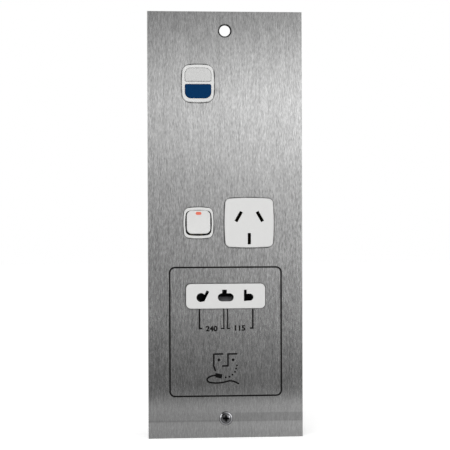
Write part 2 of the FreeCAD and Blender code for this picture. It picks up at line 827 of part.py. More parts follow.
def faceplate():
    """Stainless sheet with its cut-outs, engraved lines and the studs welded on its back."""
    plate = Moulding("faceplate")
    plate.slab(rectangle(PLATE_WIDTH, PLATE_HEIGHT, 0, PLATE_CENTRE), FRONT, 0)
    plate.chamfer(dim.plate_edge_break, at_depth(FRONT))
    plate.slab([disc(dim.stud_diameter, *spot)[0] for spot in carrier_spots],
               FRONT / 2, CARRIER_BACK + dim.nut_height + dim.stud_clearance * 4)
    plate.slab([disc(dim.stud_diameter, *spot)[0] for spot in case_spots],
               FRONT / 2, dim.case_lug_thickness + dim.nut_height + dim.stud_clearance * 4)
    plate.slab(disc(dim.earth_stud_diameter, dim.earth_stud_offset, -EARTH_DROP),
               FRONT / 2, dim.earth_stud_length)
    plate.cut(disc(dim.fixing_hole) + disc(dim.fixing_hole, 0, -FIXING_CENTRES), FRONT, 0)
    plate.chamfer(dim.fixing_flare, hole_rim(dim.fixing_hole, FRONT))
    for offset, drop, width, height, bulge, corner in (
        (-dim.breaker_offset, dim.breaker_drop, BREAKER_WIDTH, BREAKER_HEIGHT,
         dim.breaker_bulge, dim.breaker_corner),
        (-dim.breaker_offset, dim.outlet_drop, SWITCH_WIDTH, SWITCH_HEIGHT,
         dim.switch_bulge, dim.switch_corner),
        (SOCKET_OFFSET, dim.outlet_drop, SOCKET_WIDTH, SOCKET_HEIGHT,
         dim.socket_bulge, dim.socket_corner),
    ):
        wide, tall = width + CLEAR * 2, height + CLEAR * 2
        plate.cut(pillow(wide, tall, bulge, offset, -drop), FRONT, 0)
        plate.fillet(corner + CLEAR, box_corners(wide, tall, bulge, offset, -drop))
    plate.cut(rounded(dim.insert_width + CLEAR * 2, dim.insert_height + CLEAR * 2,
                      dim.insert_corner + CLEAR, None, 0, -INSERT_DROP), FRONT, 0)
    line = dim.border_line
    plate.cut(rounded(dim.border_width + line, dim.border_height + line, dim.border_radius + line / 2,
                      None, 0, -INSERT_DROP - dim.border_fall)
              + rounded(dim.border_width - line, dim.border_height - line, dim.border_radius - line / 2,
                        None, 0, -INSERT_DROP - dim.border_fall), FRONT, FRONT + dim.engraving_depth)
    top = -INSERT_DROP - dim.insert_height / 2 - CLEAR
    for across, stub in (
        (-dim.bracket_left, 1), (-dim.bracket_inner, -1), (dim.bracket_inner, 1), (dim.bracket_right, -1),
    ):
        half = dim.bracket_line / 2
        ends = [across - half * stub, across + half * stub, across + dim.bracket_stub * stub]
        low = top - dim.bracket_length
        corners = [(ends[0], top), (ends[0], low), (ends[2], low), (ends[2], low + dim.bracket_line),
                   (ends[1], low + dim.bracket_line), (ends[1], top)]
        plate.cut(path(corners), FRONT, FRONT + dim.engraving_depth)


def fixing_screw():
    """Raised countersunk screw with a cross recess, waisted so that it stays in the plate."""
    screw = Moulding("fixing_screw", 0, 0, -FIXING_CENTRES)
    head = dim.fixing_hole / 2 + dim.fixing_flare - dim.screw_seat_clearance
    thread, waist = dim.screw_thread / 2, dim.screw_waist / 2
    shoulder = FRONT + head - waist
    dome = (head * head + dim.screw_dome * dim.screw_dome) / (dim.screw_dome * 2)
    screw.turn([
        (FRONT - dim.screw_dome, 0),
        (dim.screw_length, 0),
        (dim.screw_length, thread / 2),
        (dim.screw_length - thread / 2, thread),
        (shoulder + dim.screw_waist_length, thread),
        (shoulder + dim.screw_waist_length, waist),
        (shoulder, waist),
        (FRONT, head),
    ], {7: dome})
    arm, half = dim.recess_span / 2, dim.recess_width / 2
    cross = [(half, half), (half, arm), (-half, arm), (-half, half), (-arm, half), (-arm, -half),
             (-half, -half), (-half, -arm), (half, -arm), (half, -half), (arm, -half), (arm, half)]
    screw.cut(path(cross), FRONT - dim.screw_dome, FRONT - dim.screw_dome + dim.recess_depth)


def screw_retainer():
    """Nylon ring that snaps into the screw's waist behind the plate."""
    head = dim.fixing_hole / 2 + dim.fixing_flare - dim.screw_seat_clearance
    start = FRONT + head - dim.screw_waist / 2 + dim.stud_clearance
    end = start + dim.retainer_thickness
    ring = rod("retainer_disc", "y", dim.retainer_diameter, start, end, 0, 0, -FIXING_CENTRES)
    hole = rod("retainer_hole", "y", dim.screw_waist + dim.stud_clearance / 2, start, end, 0, 0,
               -FIXING_CENTRES)
    keep(bored("screw_retainer_solid", ring, hole), "screw_retainer")


def carrier_frame():
    """Moulded frame that presses the three modules' flanges against the plate."""
    frame = Moulding("carrier_frame")
    corner = dim.carrier_corner
    frame.slab(rounded(CARRIER_WIDTH, CARRIER_HEIGHT, corner, None, 0, -CARRIER_DROP),
               0, CARRIER_BACK)
    seat = dim.seat_clearance
    for offset, drop, width, height in (
        (-dim.breaker_offset, dim.breaker_drop, BREAKER_WIDTH, BREAKER_HEIGHT),
        (-dim.breaker_offset, dim.outlet_drop, SWITCH_WIDTH, SWITCH_HEIGHT),
        (SOCKET_OFFSET, dim.outlet_drop, SOCKET_WIDTH, SOCKET_HEIGHT),
    ):
        margin = dim.flange_margin * 2 + seat * 2
        frame.cut(rounded(width + margin, height + margin, dim.flange_corner + seat, None, offset, -drop),
                  0, dim.flange_thickness + seat / 4)
        frame.cut(rounded(width + seat * 6, height + seat * 6, dim.flange_corner, None, offset, -drop),
                  dim.flange_thickness, CARRIER_BACK)
    middle = (dim.breaker_drop + dim.outlet_drop) / 2
    pitch_across = dim.carrier_cell_width + dim.carrier_cell_gap
    pitch_up = dim.carrier_cell_height / 2 + dim.carrier_rib
    for row in (-1, 1):
        cells = []
        for column in (-1, 0, 1):
            if row == 1 and column == 1:
                continue
            cells += rounded(dim.carrier_cell_width, dim.carrier_cell_height / 2, dim.carrier_cell_web,
                             None, pitch_across * column, pitch_up / 2 * row - middle)
        frame.cut(cells, 0, CARRIER_BACK)
    frame.cut([disc(dim.stud_diameter + dim.stud_clearance * 2, *spot)[0] for spot in carrier_spots],
              0, CARRIER_BACK)
    pilots = breaker_ears + switch_ears + socket_ears
    frame.cut([disc(SCREW_PILOT, *spot)[0] for spot in pilots], dim.stud_clearance * 2, CARRIER_BACK)


def nuts(label, spots, seat, across_flats, height, bore):
    """Hexagon nuts on studs, all seated at one depth."""
    made = []
    for number, (x, z) in enumerate(spots, start=1):
        outside = hexagon(f"{label}_hex_{number}", across_flats, seat, seat + height, x, z)
        inside = rod(f"{label}_bore_{number}", "y", bore, seat, seat + height, x, 0, z)
        made.append(bored(f"{label}_{number}", outside, inside))
    return made


def screws(label, spots, seat, shank, length, head, head_height):
    """Slotted pan-head screws that point at the room and are driven from behind."""
    made = []
    for number, (x, z) in enumerate(spots, start=1):
        cap = rod(f"{label}_head_{number}", "y", head, seat, seat + head_height, x, 0, z)
        stem = rod(f"{label}_shank_{number}", "y", shank, seat - length, seat, x, 0, z)
        body = joined(f"{label}_blank_{number}", [cap, stem])
        slot = block(f"{label}_slot_{number}", (x - head / 2, x + head / 2),
                     (seat + head_height / 2, seat + head_height),
                     (z - dim.driver_slot / 2, z + dim.driver_slot / 2))
        made.append(bored(f"{label}_{number}", body, slot))
    return made


def box_shell(label, offset, drop, width, height, back, ears, lug_front):
    """Moulded box, open towards the room, with an ear for each fixing screw."""
    shell = Moulding(label)
    shell.slab(rounded(width, height, dim.box_corner, None, offset, -drop), lug_front, back)
    sideways = abs(ears[0][1].value - ears[1][1].value) < 1e-6
    for x, z in ears:
        reach = (dim.ear_length + dim.box_wall, dim.ear_width)
        across, upright = reach if sideways else (reach[1], reach[0])
        inward_x = -1 if x.value > as_size(offset).value else 1
        inward_z = -1 if z.value > -as_size(drop).value else 1
        shift = dim.box_wall / 2
        centre = (x + shift * inward_x, z) if sideways else (x, z + shift * inward_z)
        shell.slab(rounded(across, upright, dim.box_corner / 2, None, *centre), lug_front,
                   lug_front + dim.ear_thickness)
    inner = rounded(width - dim.box_wall * 2, height - dim.box_wall * 2, dim.box_corner / 4, None,
                    offset, -drop)
    shell.cut(inner, lug_front, back - dim.box_wall)
    shell.cut([disc(dim.module_screw + dim.seat_clearance, *spot)[0] for spot in ears], lug_front,
              lug_front + dim.ear_thickness)
    return shell


def pillar_holes(shell, spots, back, wall):
    """Square holes in a back wall for terminal pillars."""
    size = dim.pillar_size + dim.pillar_clearance * 2
    for spot in spots:
        shell.cut(rectangle(size, size, *spot), back - wall, back)


def pillar(name, spot, back, wall):
    """Brass terminal pillar, flanged inside a back wall, with a hole across it for the wire."""
    x, z = spot
    half, wide = dim.pillar_size / 2, dim.pillar_flange / 2
    end = back + dim.pillar_length
    inner = back - wall
    post = block(f"{name}_post", (x - half, x + half), (inner, end), (z - half, z + half))
    flange = block(f"{name}_flange", (x - wide, x + wide), (inner - dim.pillar_flange_thickness, inner),
                   (z - wide, z + wide))
    body = joined(f"{name}_body", [post, flange])
    wire_depth = back + dim.pillar_length / 2 - dim.driver_slot
    wire = rod(f"{name}_wire_hole", "z", dim.wire_hole, z - half, z + half, x, wire_depth)
    tapped = rod(f"{name}_tapped_hole", "y", dim.clamp_screw + dim.pillar_clearance, wire_depth, end, x, 0, z)
    return bored(name, body, joined(f"{name}_holes", [wire, tapped]))


def pillar_screws(label, spots, back):
    """Slotted grub screws in the ends of terminal pillars."""
    made = []
    end = back + dim.pillar_length
    for number, (x, z) in enumerate(spots, start=1):
        body = rod(f"{label}_body_{number}", "y", dim.clamp_screw, end - dim.clamp_screw_length, end,
                   x, 0, z)
        slot = block(f"{label}_slot_{number}", (x - dim.clamp_screw / 2, x + dim.clamp_screw / 2),
                     (end - dim.driver_slot, end), (z - dim.driver_slot / 2, z + dim.driver_slot / 2))
        made.append(bored(f"{label}_{number}", body, slot))
    keep(together(label, made), label)


def coil(label, axis, centre, start, end, mean_radius):
    """Compression spring with its wire drawn as short straight lengths of square section."""
    steps = 8
    turns = int(dim.spring_turns.value)
    wire = dim.spring_wire.value / 2
    radius = mean_radius.value
    low, high = as_size(start).value + wire, as_size(end).value - wire
    sections = []
    for i in range(steps * turns + 1):
        angle = 2 * math.pi * i / steps
        along = low + (high - low) * i / (steps * turns)
        ring = []
        for out, lift in ((-wire, -wire), (wire, -wire), (wire, wire), (-wire, wire)):
            across = (radius + out) * math.cos(angle)
            up = (radius + out) * math.sin(angle)
            ring.append(V(across, along + lift, up) if axis == "y" else V(across, up, along + lift))
        sections.append(ring)
    faces = []
    for near, far in zip(sections, sections[1:]):
        for i in range(4):
            j = (i + 1) % 4
            faces.append((near[i], near[j], far[j]))
            faces.append((near[i], far[j], far[i]))
    for end_ring in (sections[0], sections[-1]):
        faces.append(tuple(end_ring[:3]))
        faces.append((end_ring[0], end_ring[2], end_ring[3]))
    shell = Part.Shell([Part.Face(Part.makePolygon([*f, f[0]])) for f in faces])
    solid = Part.Solid(shell)
    if solid.Volume < 0:
        solid.reverse()
    made = doc.addObject("Part::Feature", label)
    made.Shape = solid
    place(made, *centre)
    return keep(made, label)


def breaker_bezel():
    """Moulded surround of the two buttons, its flange caught behind the plate."""
    bezel = Moulding("rcd_bezel", -dim.breaker_offset, 0, -dim.breaker_drop)
    width, height, bulge = BREAKER_WIDTH, BREAKER_HEIGHT, dim.breaker_bulge
    bezel.slab(pillow(width, height, bulge), BREAKER_FACE, 0)
    bezel.fillet(dim.breaker_corner, box_corners(width, height, bulge))
    bezel.fillet(dim.breaker_edge, at_depth(BREAKER_FACE))
    margin = dim.flange_margin * 2
    bezel.slab(rounded(width + margin, height + margin, dim.flange_corner), 0, dim.flange_thickness)
    gap = dim.button_gap
    for tall, up, top, bottom in (
        (dim.reset_height, RESET_UP, dim.button_corner, dim.button_small_corner),
        (dim.test_height, TEST_UP, dim.button_small_corner, dim.button_corner),
    ):
        bezel.cut(rounded(dim.button_width + gap * 2, tall + gap * 2, top + gap, bottom + gap, 0, up),
                  BREAKER_FACE, dim.flange_thickness)
        step = dim.shoulder_step * 2 + gap * 2
        bezel.cut(rounded(dim.button_width + step, tall + gap * 2, top, bottom, 0, up),
                  SHOULDER_FRONT - dim.shoulder_seat, dim.flange_thickness)


def button(label, tall, up, top, bottom):
    """Push button with shoulders that stop it in the bezel and a stem through its spring."""
    made = Moulding(label, -dim.breaker_offset, 0, up - dim.breaker_drop)
    front = BREAKER_FACE - dim.button_proud
    made.slab(rounded(dim.button_width, tall, top, bottom), front, SHOULDER_FRONT)
    made.fillet(dim.button_edge, at_depth(front))
    made.slab(rounded(dim.button_width + dim.shoulder_step * 2, tall, top - dim.button_gap,
                      bottom - dim.button_gap), SHOULDER_FRONT, SHOULDER_BACK)
    made.slab(disc(dim.stem_diameter), SHOULDER_BACK,
              dim.board_front - dim.button_travel - dim.seat_clearance)


def breaker_housing():
    """Box behind the buttons; posts on its back wall carry the circuit board."""
    shell = box_shell("rcd_housing", -dim.breaker_offset, dim.breaker_drop, dim.breaker_box_width,
                      dim.breaker_box_height, BREAKER_BACK, breaker_ears, CARRIER_BACK)
    side = dim.breaker_box_width / 2 - dim.box_wall - dim.board_post / 2
    rise = dim.breaker_box_height / 2 - dim.box_wall - dim.board_post / 2
    for a in (-1, 1):
        for b in (-1, 1):
            shell.slab(rectangle(dim.board_post, dim.board_post, side * a - dim.breaker_offset,
                                 rise * b - dim.breaker_drop), BOARD_BACK, BREAKER_BACK - dim.box_wall / 2)
    pillar_holes(shell, breaker_pillars, BREAKER_BACK, dim.box_wall)


breaker_pillars = [
    (BREAKER_PILLAR_ACROSS * a - dim.breaker_offset,
     BREAKER_PILLAR_UP * b - dim.breaker_drop)
    for a in (-1, 1) for b in (-1, 1)
]


def breaker_inside():
    """Board, current sensor, trip coil and contacts of the leakage breaker."""
    x, z = -dim.breaker_offset, -dim.breaker_drop
    fit = dim.seat_clearance
    wide = dim.breaker_box_width / 2 - dim.box_wall - fit
    tall = dim.breaker_box_height / 2 - dim.box_wall - fit
    keep(block("rcd_board", (x - wide, x + wide), (dim.board_front, BOARD_BACK), (z - tall, z + tall)),
         "rcd_board")

    up = z + dim.breaker_box_height / 2 - dim.box_wall - dim.toroid_outer / 2 - dim.inside_gap
    end = BOARD_BACK + dim.toroid_length
    outside = rod("toroid_outside", "y", dim.toroid_outer, BOARD_BACK, end, x, 0, up)
    inside = rod("toroid_inside", "y", dim.toroid_inner, BOARD_BACK, end, x, 0, up)
    keep(bored("sensing_toroid", outside, inside), "sensing_toroid")

    foot = z - BREAKER_PILLAR_UP
    coil_up = foot + dim.trip_bobbin_size / 2 + dim.inside_gap
    bobbin = Moulding("trip_bobbin", x, BOARD_BACK + dim.trip_bobbin_size / 2, coil_up)
    reach, wall = dim.trip_bobbin_length / 2, dim.trip_bobbin_wall
    tube = dim.trip_bore + wall * 2
    bobbin.slab(disc(tube), -reach, reach, "x")
    bobbin.slab(rectangle(dim.trip_bobbin_size, dim.trip_bobbin_size), -reach, wall - reach, "x")
    bobbin.slab(rectangle(dim.trip_bobbin_size, dim.trip_bobbin_size), reach - wall, reach, "x")
    bobbin.cut(disc(dim.trip_bore), -reach, reach, "x")
    winding = Moulding("trip_winding", x, BOARD_BACK + dim.trip_bobbin_size / 2, coil_up)
    winding.slab(disc(dim.trip_bobbin_size - wall) + disc(tube), wall - reach, reach - wall, "x")

    depth = BOARD_BACK + dim.trip_bobbin_size / 2
    middle = x - dim.inside_gap
    keep(rod("trip_plunger", "x", dim.trip_bore - dim.plunger_clearance * 4,
             middle - dim.trip_plunger_length / 2, middle + dim.trip_plunger_length / 2, 0, depth, coil_up),
         "trip_plunger")

    top = BREAKER_BACK - dim.box_wall - dim.pillar_flange_thickness - dim.arm_thickness
    bridge_front = block("bridge_block", (x - dim.pillar_size, x + dim.pillar_size), (BOARD_BACK, top),
                         (foot - dim.arm_width, foot))
    keep(bridge_front, "contact_bridge")
    arms = []
    for number, side in enumerate((-1, 1), start=1):
        centre = x + BREAKER_PILLAR_ACROSS * side
        arms.append(block(f"finger_{number}",
                          (centre - dim.arm_width / 2, centre + dim.arm_width / 2),
                          (top, top + dim.arm_thickness),
                          (foot - dim.arm_width, foot + dim.arm_width / 2)))
    keep(together("contact_fingers", arms), "contact_fingers")
    keep(together("rcd_terminals", [pillar(f"rcd_pillar_{n}", spot, BREAKER_BACK, dim.box_wall)
                                    for n, spot in enumerate(breaker_pillars, start=1)]), "rcd_terminals")
    pillar_screws("rcd_terminal_screws", breaker_pillars, BREAKER_BACK)


switch_pillars = [(-dim.breaker_offset, SWITCH_PILLAR_UP * b - dim.outlet_drop) for b in (-1, 1)]


def switch_bezel():
    """Moulded surround of the rocker, with a neck behind it that carries the pivots."""
    bezel = Moulding("switch_bezel", -dim.breaker_offset, 0, -dim.outlet_drop)
    width, height, bulge = SWITCH_WIDTH, SWITCH_HEIGHT, dim.switch_bulge
    bezel.slab(pillow(width, height, bulge), SWITCH_FACE, 0)
    bezel.fillet(dim.switch_corner, box_corners(width, height, bulge))
    bezel.fillet(dim.switch_edge, at_depth(SWITCH_FACE))
    margin = dim.flange_margin * 2
    bezel.slab(rounded(width + margin, height + margin, dim.flange_corner), 0, dim.flange_thickness)
    neck = dim.neck_wall * 2
    bezel.slab(rounded(OPENING_WIDTH + neck, OPENING_HEIGHT + neck, dim.opening_corner), 0, dim.tube_end)
    bezel.cut(pillow(OPENING_WIDTH, OPENING_HEIGHT, dim.opening_bulge), SWITCH_FACE, dim.tube_end)
    bezel.fillet(dim.opening_corner, box_corners(OPENING_WIDTH, OPENING_HEIGHT, dim.opening_bulge))
    half = OPENING_WIDTH / 2 + dim.neck_wall
    bezel.cut(disc(dim.trunnion_diameter + dim.pivot_clearance * 2, dim.pivot_depth), -half, half, "x")


def rocker():
    """Hollow rocker with two trunnions, and a tube that guides its sprung plunger."""
    made = Moulding("rocker", -dim.breaker_offset, dim.pivot_depth, -dim.outlet_drop)
    tilt(made.body)
    width, height = dim.rocker_width, dim.rocker_height
    made.slab(rounded(width, height, dim.rocker_corner), ROCKER_FRONT, -dim.rocker_skirt)
    dish = dim.rocker_height * 4
    made.cut(disc(dish * 2, ROCKER_FRONT - dish + dim.rocker_bulge), -width, width, "x")
    made.fillet(dim.rocker_edge, front_rim(ROCKER_FRONT + dim.rocker_bulge + dim.pivot_clearance))
    wall = dim.rocker_wall
    inner = ROCKER_FRONT + dim.rocker_bulge + wall
    made.cut(rounded(width - wall * 2, height - wall * 2, dim.rocker_corner - wall / 2), inner, 0)
    made.slab(disc(dim.tube_diameter), inner - wall / 4, dim.tube_end - dim.pivot_depth)
    rim = width / 2
    web = dim.rocker_edge / 2
    for side in (-1, 1):
        near, far = rim * side - wall * side, (rim + dim.trunnion_length) * side
        low, high = (near, far) if side > 0 else (far, near)
        made.slab(disc(dim.trunnion_diameter), low, high, "x")
        low, high = (near, rim * side) if side > 0 else (rim * side, near)
        made.slab(rectangle(dim.rocker_skirt + dim.trunnion_diameter / 2 + web, dim.tube_diameter,
                            (dim.trunnion_diameter / 2 - dim.rocker_skirt - web) / 2), low, high, "x")
    made.cut(disc(dim.tube_bore), inner + wall / 2, dim.tube_end - dim.pivot_depth)
    mark = stadium(dim.marker_width, dim.marker_height, 0, dim.marker_rise)
    made.cut(mark, ROCKER_FRONT, ROCKER_FRONT + dim.marker_depth + dim.rocker_bulge / 2)


def front_rim(limit):
    """Picks every edge that lies in front of a depth."""
    value = limit.value

    def lies(edge):
        return all(v.Point.y < value for v in edge.Vertexes) and edge.CenterOfMass.y < value

    return lies


def tilt(thing, angle=None):
    """Leans a moving sub-part about the X axis by an angle from the sheet."""
    thing.Placement.Rotation = FreeCAD.Rotation(V(1, 0, 0), 1)
    bind(thing, "Placement.Rotation.Angle", -dim.rocker_tilt if angle is None else angle)


def rocker_parts():
    """Coloured mark let into the rocker's face, with the plunger and spring of its tube."""
    mark = Moulding("rocker_marker", -dim.breaker_offset, dim.pivot_depth, -dim.outlet_drop)
    tilt(mark.body)
    seat = ROCKER_FRONT + dim.marker_depth + dim.rocker_bulge / 2
    mark.slab(stadium(dim.marker_width, dim.marker_height, 0, dim.marker_rise),
              seat - dim.marker_depth, seat)

    bore_floor = ROCKER_FRONT + dim.rocker_bulge + dim.rocker_wall * 1.5
    plunger = Moulding("switch_plunger", -dim.breaker_offset, dim.pivot_depth, -dim.outlet_drop)
    tilt(plunger.body)
    tip = PLUNGER_TIP - dim.pivot_depth
    radius = dim.tube_bore / 2 - dim.plunger_clearance
    plunger.turn([(0, 0), (tip, 0), (tip - radius, radius), (0, radius)], {1: radius})

    coil("plunger_spring", "y", (-dim.breaker_offset, dim.pivot_depth, -dim.outlet_drop), bore_floor, 0,
         dim.tube_bore / 2 - dim.plunger_clearance - dim.spring_wire / 2)
    tilt(doc.getObject("plunger_spring"))


def seesaw():
    """Brass seesaw contact that the plunger tips, with its rivet at the top."""
    made = Moulding("seesaw_contact", -dim.breaker_offset, SEESAW_AXIS, -dim.outlet_drop)
    tilt(made.body, dim.seesaw_tilt)
    made.slab(rectangle(dim.seesaw_width, SEESAW_LENGTH), -dim.seesaw_thickness, 0)
    made.slab(disc(dim.seesaw_roll), -dim.seesaw_width / 2, dim.seesaw_width / 2, "x")
    made.slab(disc(dim.rivet_diameter, 0, SWITCH_PILLAR_UP), 0, dim.rivet_height)


def switch_inside():
    """Housing of the switch, its two terminals and their screws."""
    shell = box_shell("switch_housing", -dim.breaker_offset, dim.outlet_drop, SWITCH_BOX_WIDTH,
                      SWITCH_BOX_HEIGHT, SWITCH_BACK, switch_ears, CARRIER_BACK)
    pillar_holes(shell, switch_pillars, SWITCH_BACK, dim.box_wall)
    x, z = -dim.breaker_offset, -dim.outlet_drop
    floor = SWITCH_BACK - dim.box_wall
    flange = floor - dim.pillar_flange_thickness
    half = dim.seesaw_width / 2
    gap = dim.pivot_clearance

    pivot = SEESAW_AXIS + dim.seesaw_roll / 2 + gap
    low = switch_pillars[0][1]
    side = dim.arm_width / 4
    post = block("common_post", (x - half, x + half), (pivot, flange), (z - side, z + side))
    foot = block("common_foot", (x - half, x + half), (flange, floor), (low, z + side))
    keep(joined("common_solid", [post, foot, pillar("common_pillar", switch_pillars[0], SWITCH_BACK,
                                                    dim.box_wall)]), "common_terminal")
    high = switch_pillars[1][1]
    reach = cosine(dim.seesaw_tilt) * dim.rivet_height + sine(dim.seesaw_tilt) * (SWITCH_PILLAR_UP)
    face = SEESAW_AXIS + reach + dim.stud_clearance
    rivet = rod("line_rivet", "y", dim.rivet_diameter, face, face + dim.rivet_height, x, 0, high)
    arm = block("line_post", (x - half, x + half), (face + dim.rivet_height, flange),
                (high - side, high + side))
    keep(joined("line_solid", [rivet, arm, pillar("line_pillar", switch_pillars[1], SWITCH_BACK,
                                                  dim.box_wall)]), "line_terminal")
    pillar_screws("switch_terminal_screws", switch_pillars, SWITCH_BACK)


socket_pins = {
    "active_contact": (-PIN_ACROSS, PIN_RISE, dim.pin_slot_tilt),
    "neutral_contact": (PIN_ACROSS, PIN_RISE, -dim.pin_slot_tilt),
    "earth_contact": (as_size(0), -dim.pin_radius_earth, as_size(0)),
}
socket_pillars = [(SOCKET_OFFSET + x, z - dim.outlet_drop) for x, z, _ in socket_pins.values()]


def socket_front():
    """Moulded front of the outlet with its three slots for flat pins."""
    front = Moulding("socket_front", SOCKET_OFFSET, 0, -dim.outlet_drop)
    width, height, bulge = SOCKET_WIDTH, SOCKET_HEIGHT, dim.socket_bulge
    front.slab(pillow(width, height, bulge), SOCKET_FACE, 0)
    front.fillet(dim.socket_corner, box_corners(width, height, bulge))
    front.fillet(dim.socket_edge, at_depth(SOCKET_FACE))
    margin = dim.flange_margin * 2
    front.slab(rounded(width + margin, height + margin, dim.flange_corner), 0, dim.flange_thickness)
    for x, z, lean in socket_pins.values():
        front.cut(blade(dim.pin_slot_length, dim.pin_slot_width, lean, x, z), SOCKET_FACE,
                  dim.flange_thickness)


def socket_inside():
    """Housing of the outlet, with a pair of gripping leaves and a terminal for each pin."""
    shell = box_shell("socket_housing", SOCKET_OFFSET, dim.outlet_drop, SOCKET_BOX_WIDTH,
                      SOCKET_BOX_HEIGHT, SOCKET_BACK, socket_ears, CARRIER_BACK)
    pillar_holes(shell, socket_pillars, SOCKET_BACK, dim.box_wall)
    floor = SOCKET_BACK - dim.box_wall
    root = floor - dim.pillar_flange_thickness
    reach = dim.clip_gap / 2 + dim.clip_thickness / 2
    for (label, (x, z, lean)), spot in zip(socket_pins.items(), socket_pillars):
        leaves = Moulding(f"{label}_leaves", SOCKET_OFFSET, 0, -dim.outlet_drop, node=False)
        for side in (-1, 1):
            across, up = cosine(lean) * reach * side, sine(lean) * reach * side
            leaves.slab(blade(dim.clip_width, dim.clip_thickness, lean, x + across, z - up),
                        root - dim.clip_length, floor)
            if side == -1:
                leaves.slab(rectangle(dim.pillar_size, dim.pillar_size, x, z), root, floor)
        post = pillar(f"{label}_pillar", spot, SOCKET_BACK, dim.box_wall)
        keep(joined(f"{label}_solid", [leaves.body, post]), label)
    pillar_screws("socket_terminal_screws", socket_pillars, SOCKET_BACK)


WINDOW_FIT = dim.seat_clearance * 2


def pin_outlines(grow=0):
    """Outlines of the shaver outlet's overlapping round, flat and slanted pin holes."""
    grow = as_size(grow)
    more = grow * 2
    d_height = dim.flat_round_height + more
    d_end = dim.flat_round_end + grow - d_height / 2
    half = d_height / 2
    rounded_end = path([(dim.flat_slot_offset, HOLE_UP - half), (d_end, HOLE_UP - half),
                        (d_end, HOLE_UP + half), (dim.flat_slot_offset, HOLE_UP + half)], {1: half})
    left = [
        disc(dim.round_hole + more, -dim.round_hole_offset, HOLE_UP),
        blade(dim.blade_length + more, dim.blade_width + more, dim.blade_tilt, -dim.blade_offset,
              dim.blade_rise),
    ]
    low, high = HOLE_UP, dim.notch_top + grow
    middle = [
        stadium(dim.oval_length + more, dim.oval_height + more, 0, HOLE_UP),
        rectangle(dim.notch_width + more, high - low, -dim.notch_offset, (low + high) / 2),
    ]
    right = [
        rounded_end,
        rectangle(dim.flat_slot_width + more, dim.flat_slot_height + more, dim.flat_slot_offset,
                  dim.flat_slot_rise),
    ]
    return left, middle, right


def shaver_insert():
    """Moulded front of the shaver outlet, flanged behind the plate."""
    insert = Moulding("shaver_insert", 0, 0, -INSERT_DROP)
    insert.slab(rounded(dim.insert_width, dim.insert_height, dim.insert_corner), INSERT_FACE, 0)
    insert.fillet(dim.insert_edge, at_depth(INSERT_FACE))
    margin = dim.flange_margin * 2
    insert.slab(rounded(dim.insert_width + margin, dim.insert_height + margin, dim.flange_corner), 0,
                dim.flange_thickness)
    for group in pin_outlines():
        for outline in group:
            insert.cut(outline, INSERT_FACE, dim.flange_thickness)


LEAF_REACH = dim.well_clearance + dim.leaf_thickness / 2
leaf_spots = {
    "contact_240": (-dim.round_hole_offset - dim.round_hole / 2 - LEAF_REACH, HOLE_UP, False),
    "contact_common": (as_size(0), HOLE_UP - dim.oval_height / 2 - LEAF_REACH, True),
    "contact_115": (dim.flat_round_end + LEAF_REACH, HOLE_UP, False),
}


def leaf_outline(across, up, flat, grow=0):
    """Section of a contact leaf beside its well."""
    wide, thin = dim.leaf_width + as_size(grow), dim.leaf_thickness + as_size(grow)
    return rectangle(wide, thin, across, up) if flat else rectangle(thin, wide, across, up)


def shaver_base():
    """Moulded contact carrier behind the insert: pin wells, and a chamber for the shutter."""
    base = Moulding("shaver_socket_base", 0, 0, -INSERT_DROP)
    centre = -BASE_FALL
    base.slab(rounded(BASE_WIDTH, BASE_HEIGHT, dim.box_corner / 2, None, 0, centre),
              dim.flange_thickness, dim.base_depth)
    for x, z in base_ears:
        side = 1 if x.value > 0 else -1
        base.slab(rectangle(dim.ear_length + dim.box_wall, dim.ear_width, x - dim.box_wall / 2 * side,
                            z + INSERT_DROP), CASE_FLOOR, CASE_FLOOR + dim.ear_thickness)
    base.cut([disc(dim.module_screw + dim.seat_clearance, x, z + INSERT_DROP)[0] for x, z in base_ears],
             CASE_FLOOR, CASE_FLOOR + dim.ear_thickness)
    for group in pin_outlines(dim.well_clearance):
        for outline in group:
            base.cut(outline, dim.flange_thickness, dim.base_depth - dim.well_floor)
    top = dim.notch_top + dim.well_clearance
    base.cut(rectangle(CHAMBER_WIDTH, top - CHAMBER_FOOT, 0, (top + CHAMBER_FOOT) / 2),
             dim.flange_thickness, CHAMBER_BACK)
    for across, up, flat in leaf_spots.values():
        front = CHAMBER_BACK if flat else dim.flange_thickness
        base.cut(leaf_outline(across, up, flat, dim.pivot_clearance * 2), front, dim.base_depth)


def shaver_contacts():
    """Spring leaves beside the wells, and the sprung shutter in the middle."""
    for label, (across, up, flat) in leaf_spots.items():
        front = (CHAMBER_BACK if flat else dim.flange_thickness) + dim.well_clearance
        leaf = Moulding(label, 0, 0, -INSERT_DROP)
        leaf.slab(leaf_outline(across, up, flat), front, dim.base_depth + dim.leaf_tail)
    front = dim.flange_thickness + dim.pivot_clearance
    back = front + dim.shutter_depth
    shutter = Moulding("shutter", 0, 0, -INSERT_DROP)
    half = SHUTTER_WIDTH / 2
    ramp = [(front, SHUTTER_FOOT), (back, SHUTTER_FOOT), (back, HOLE_UP),
            (back - dim.leaf_thickness, HOLE_UP), (front, SHUTTER_FOOT + dim.shutter_height / 3)]
    shutter.slab(path(ramp), -half, half, "x")
    coil("shutter_spring", "z", (0, (front + back) / 2, -INSERT_DROP), CHAMBER_FOOT, SHUTTER_FOOT,
         dim.shutter_depth / 2 - dim.shutter_clearance - dim.spring_wire / 2)


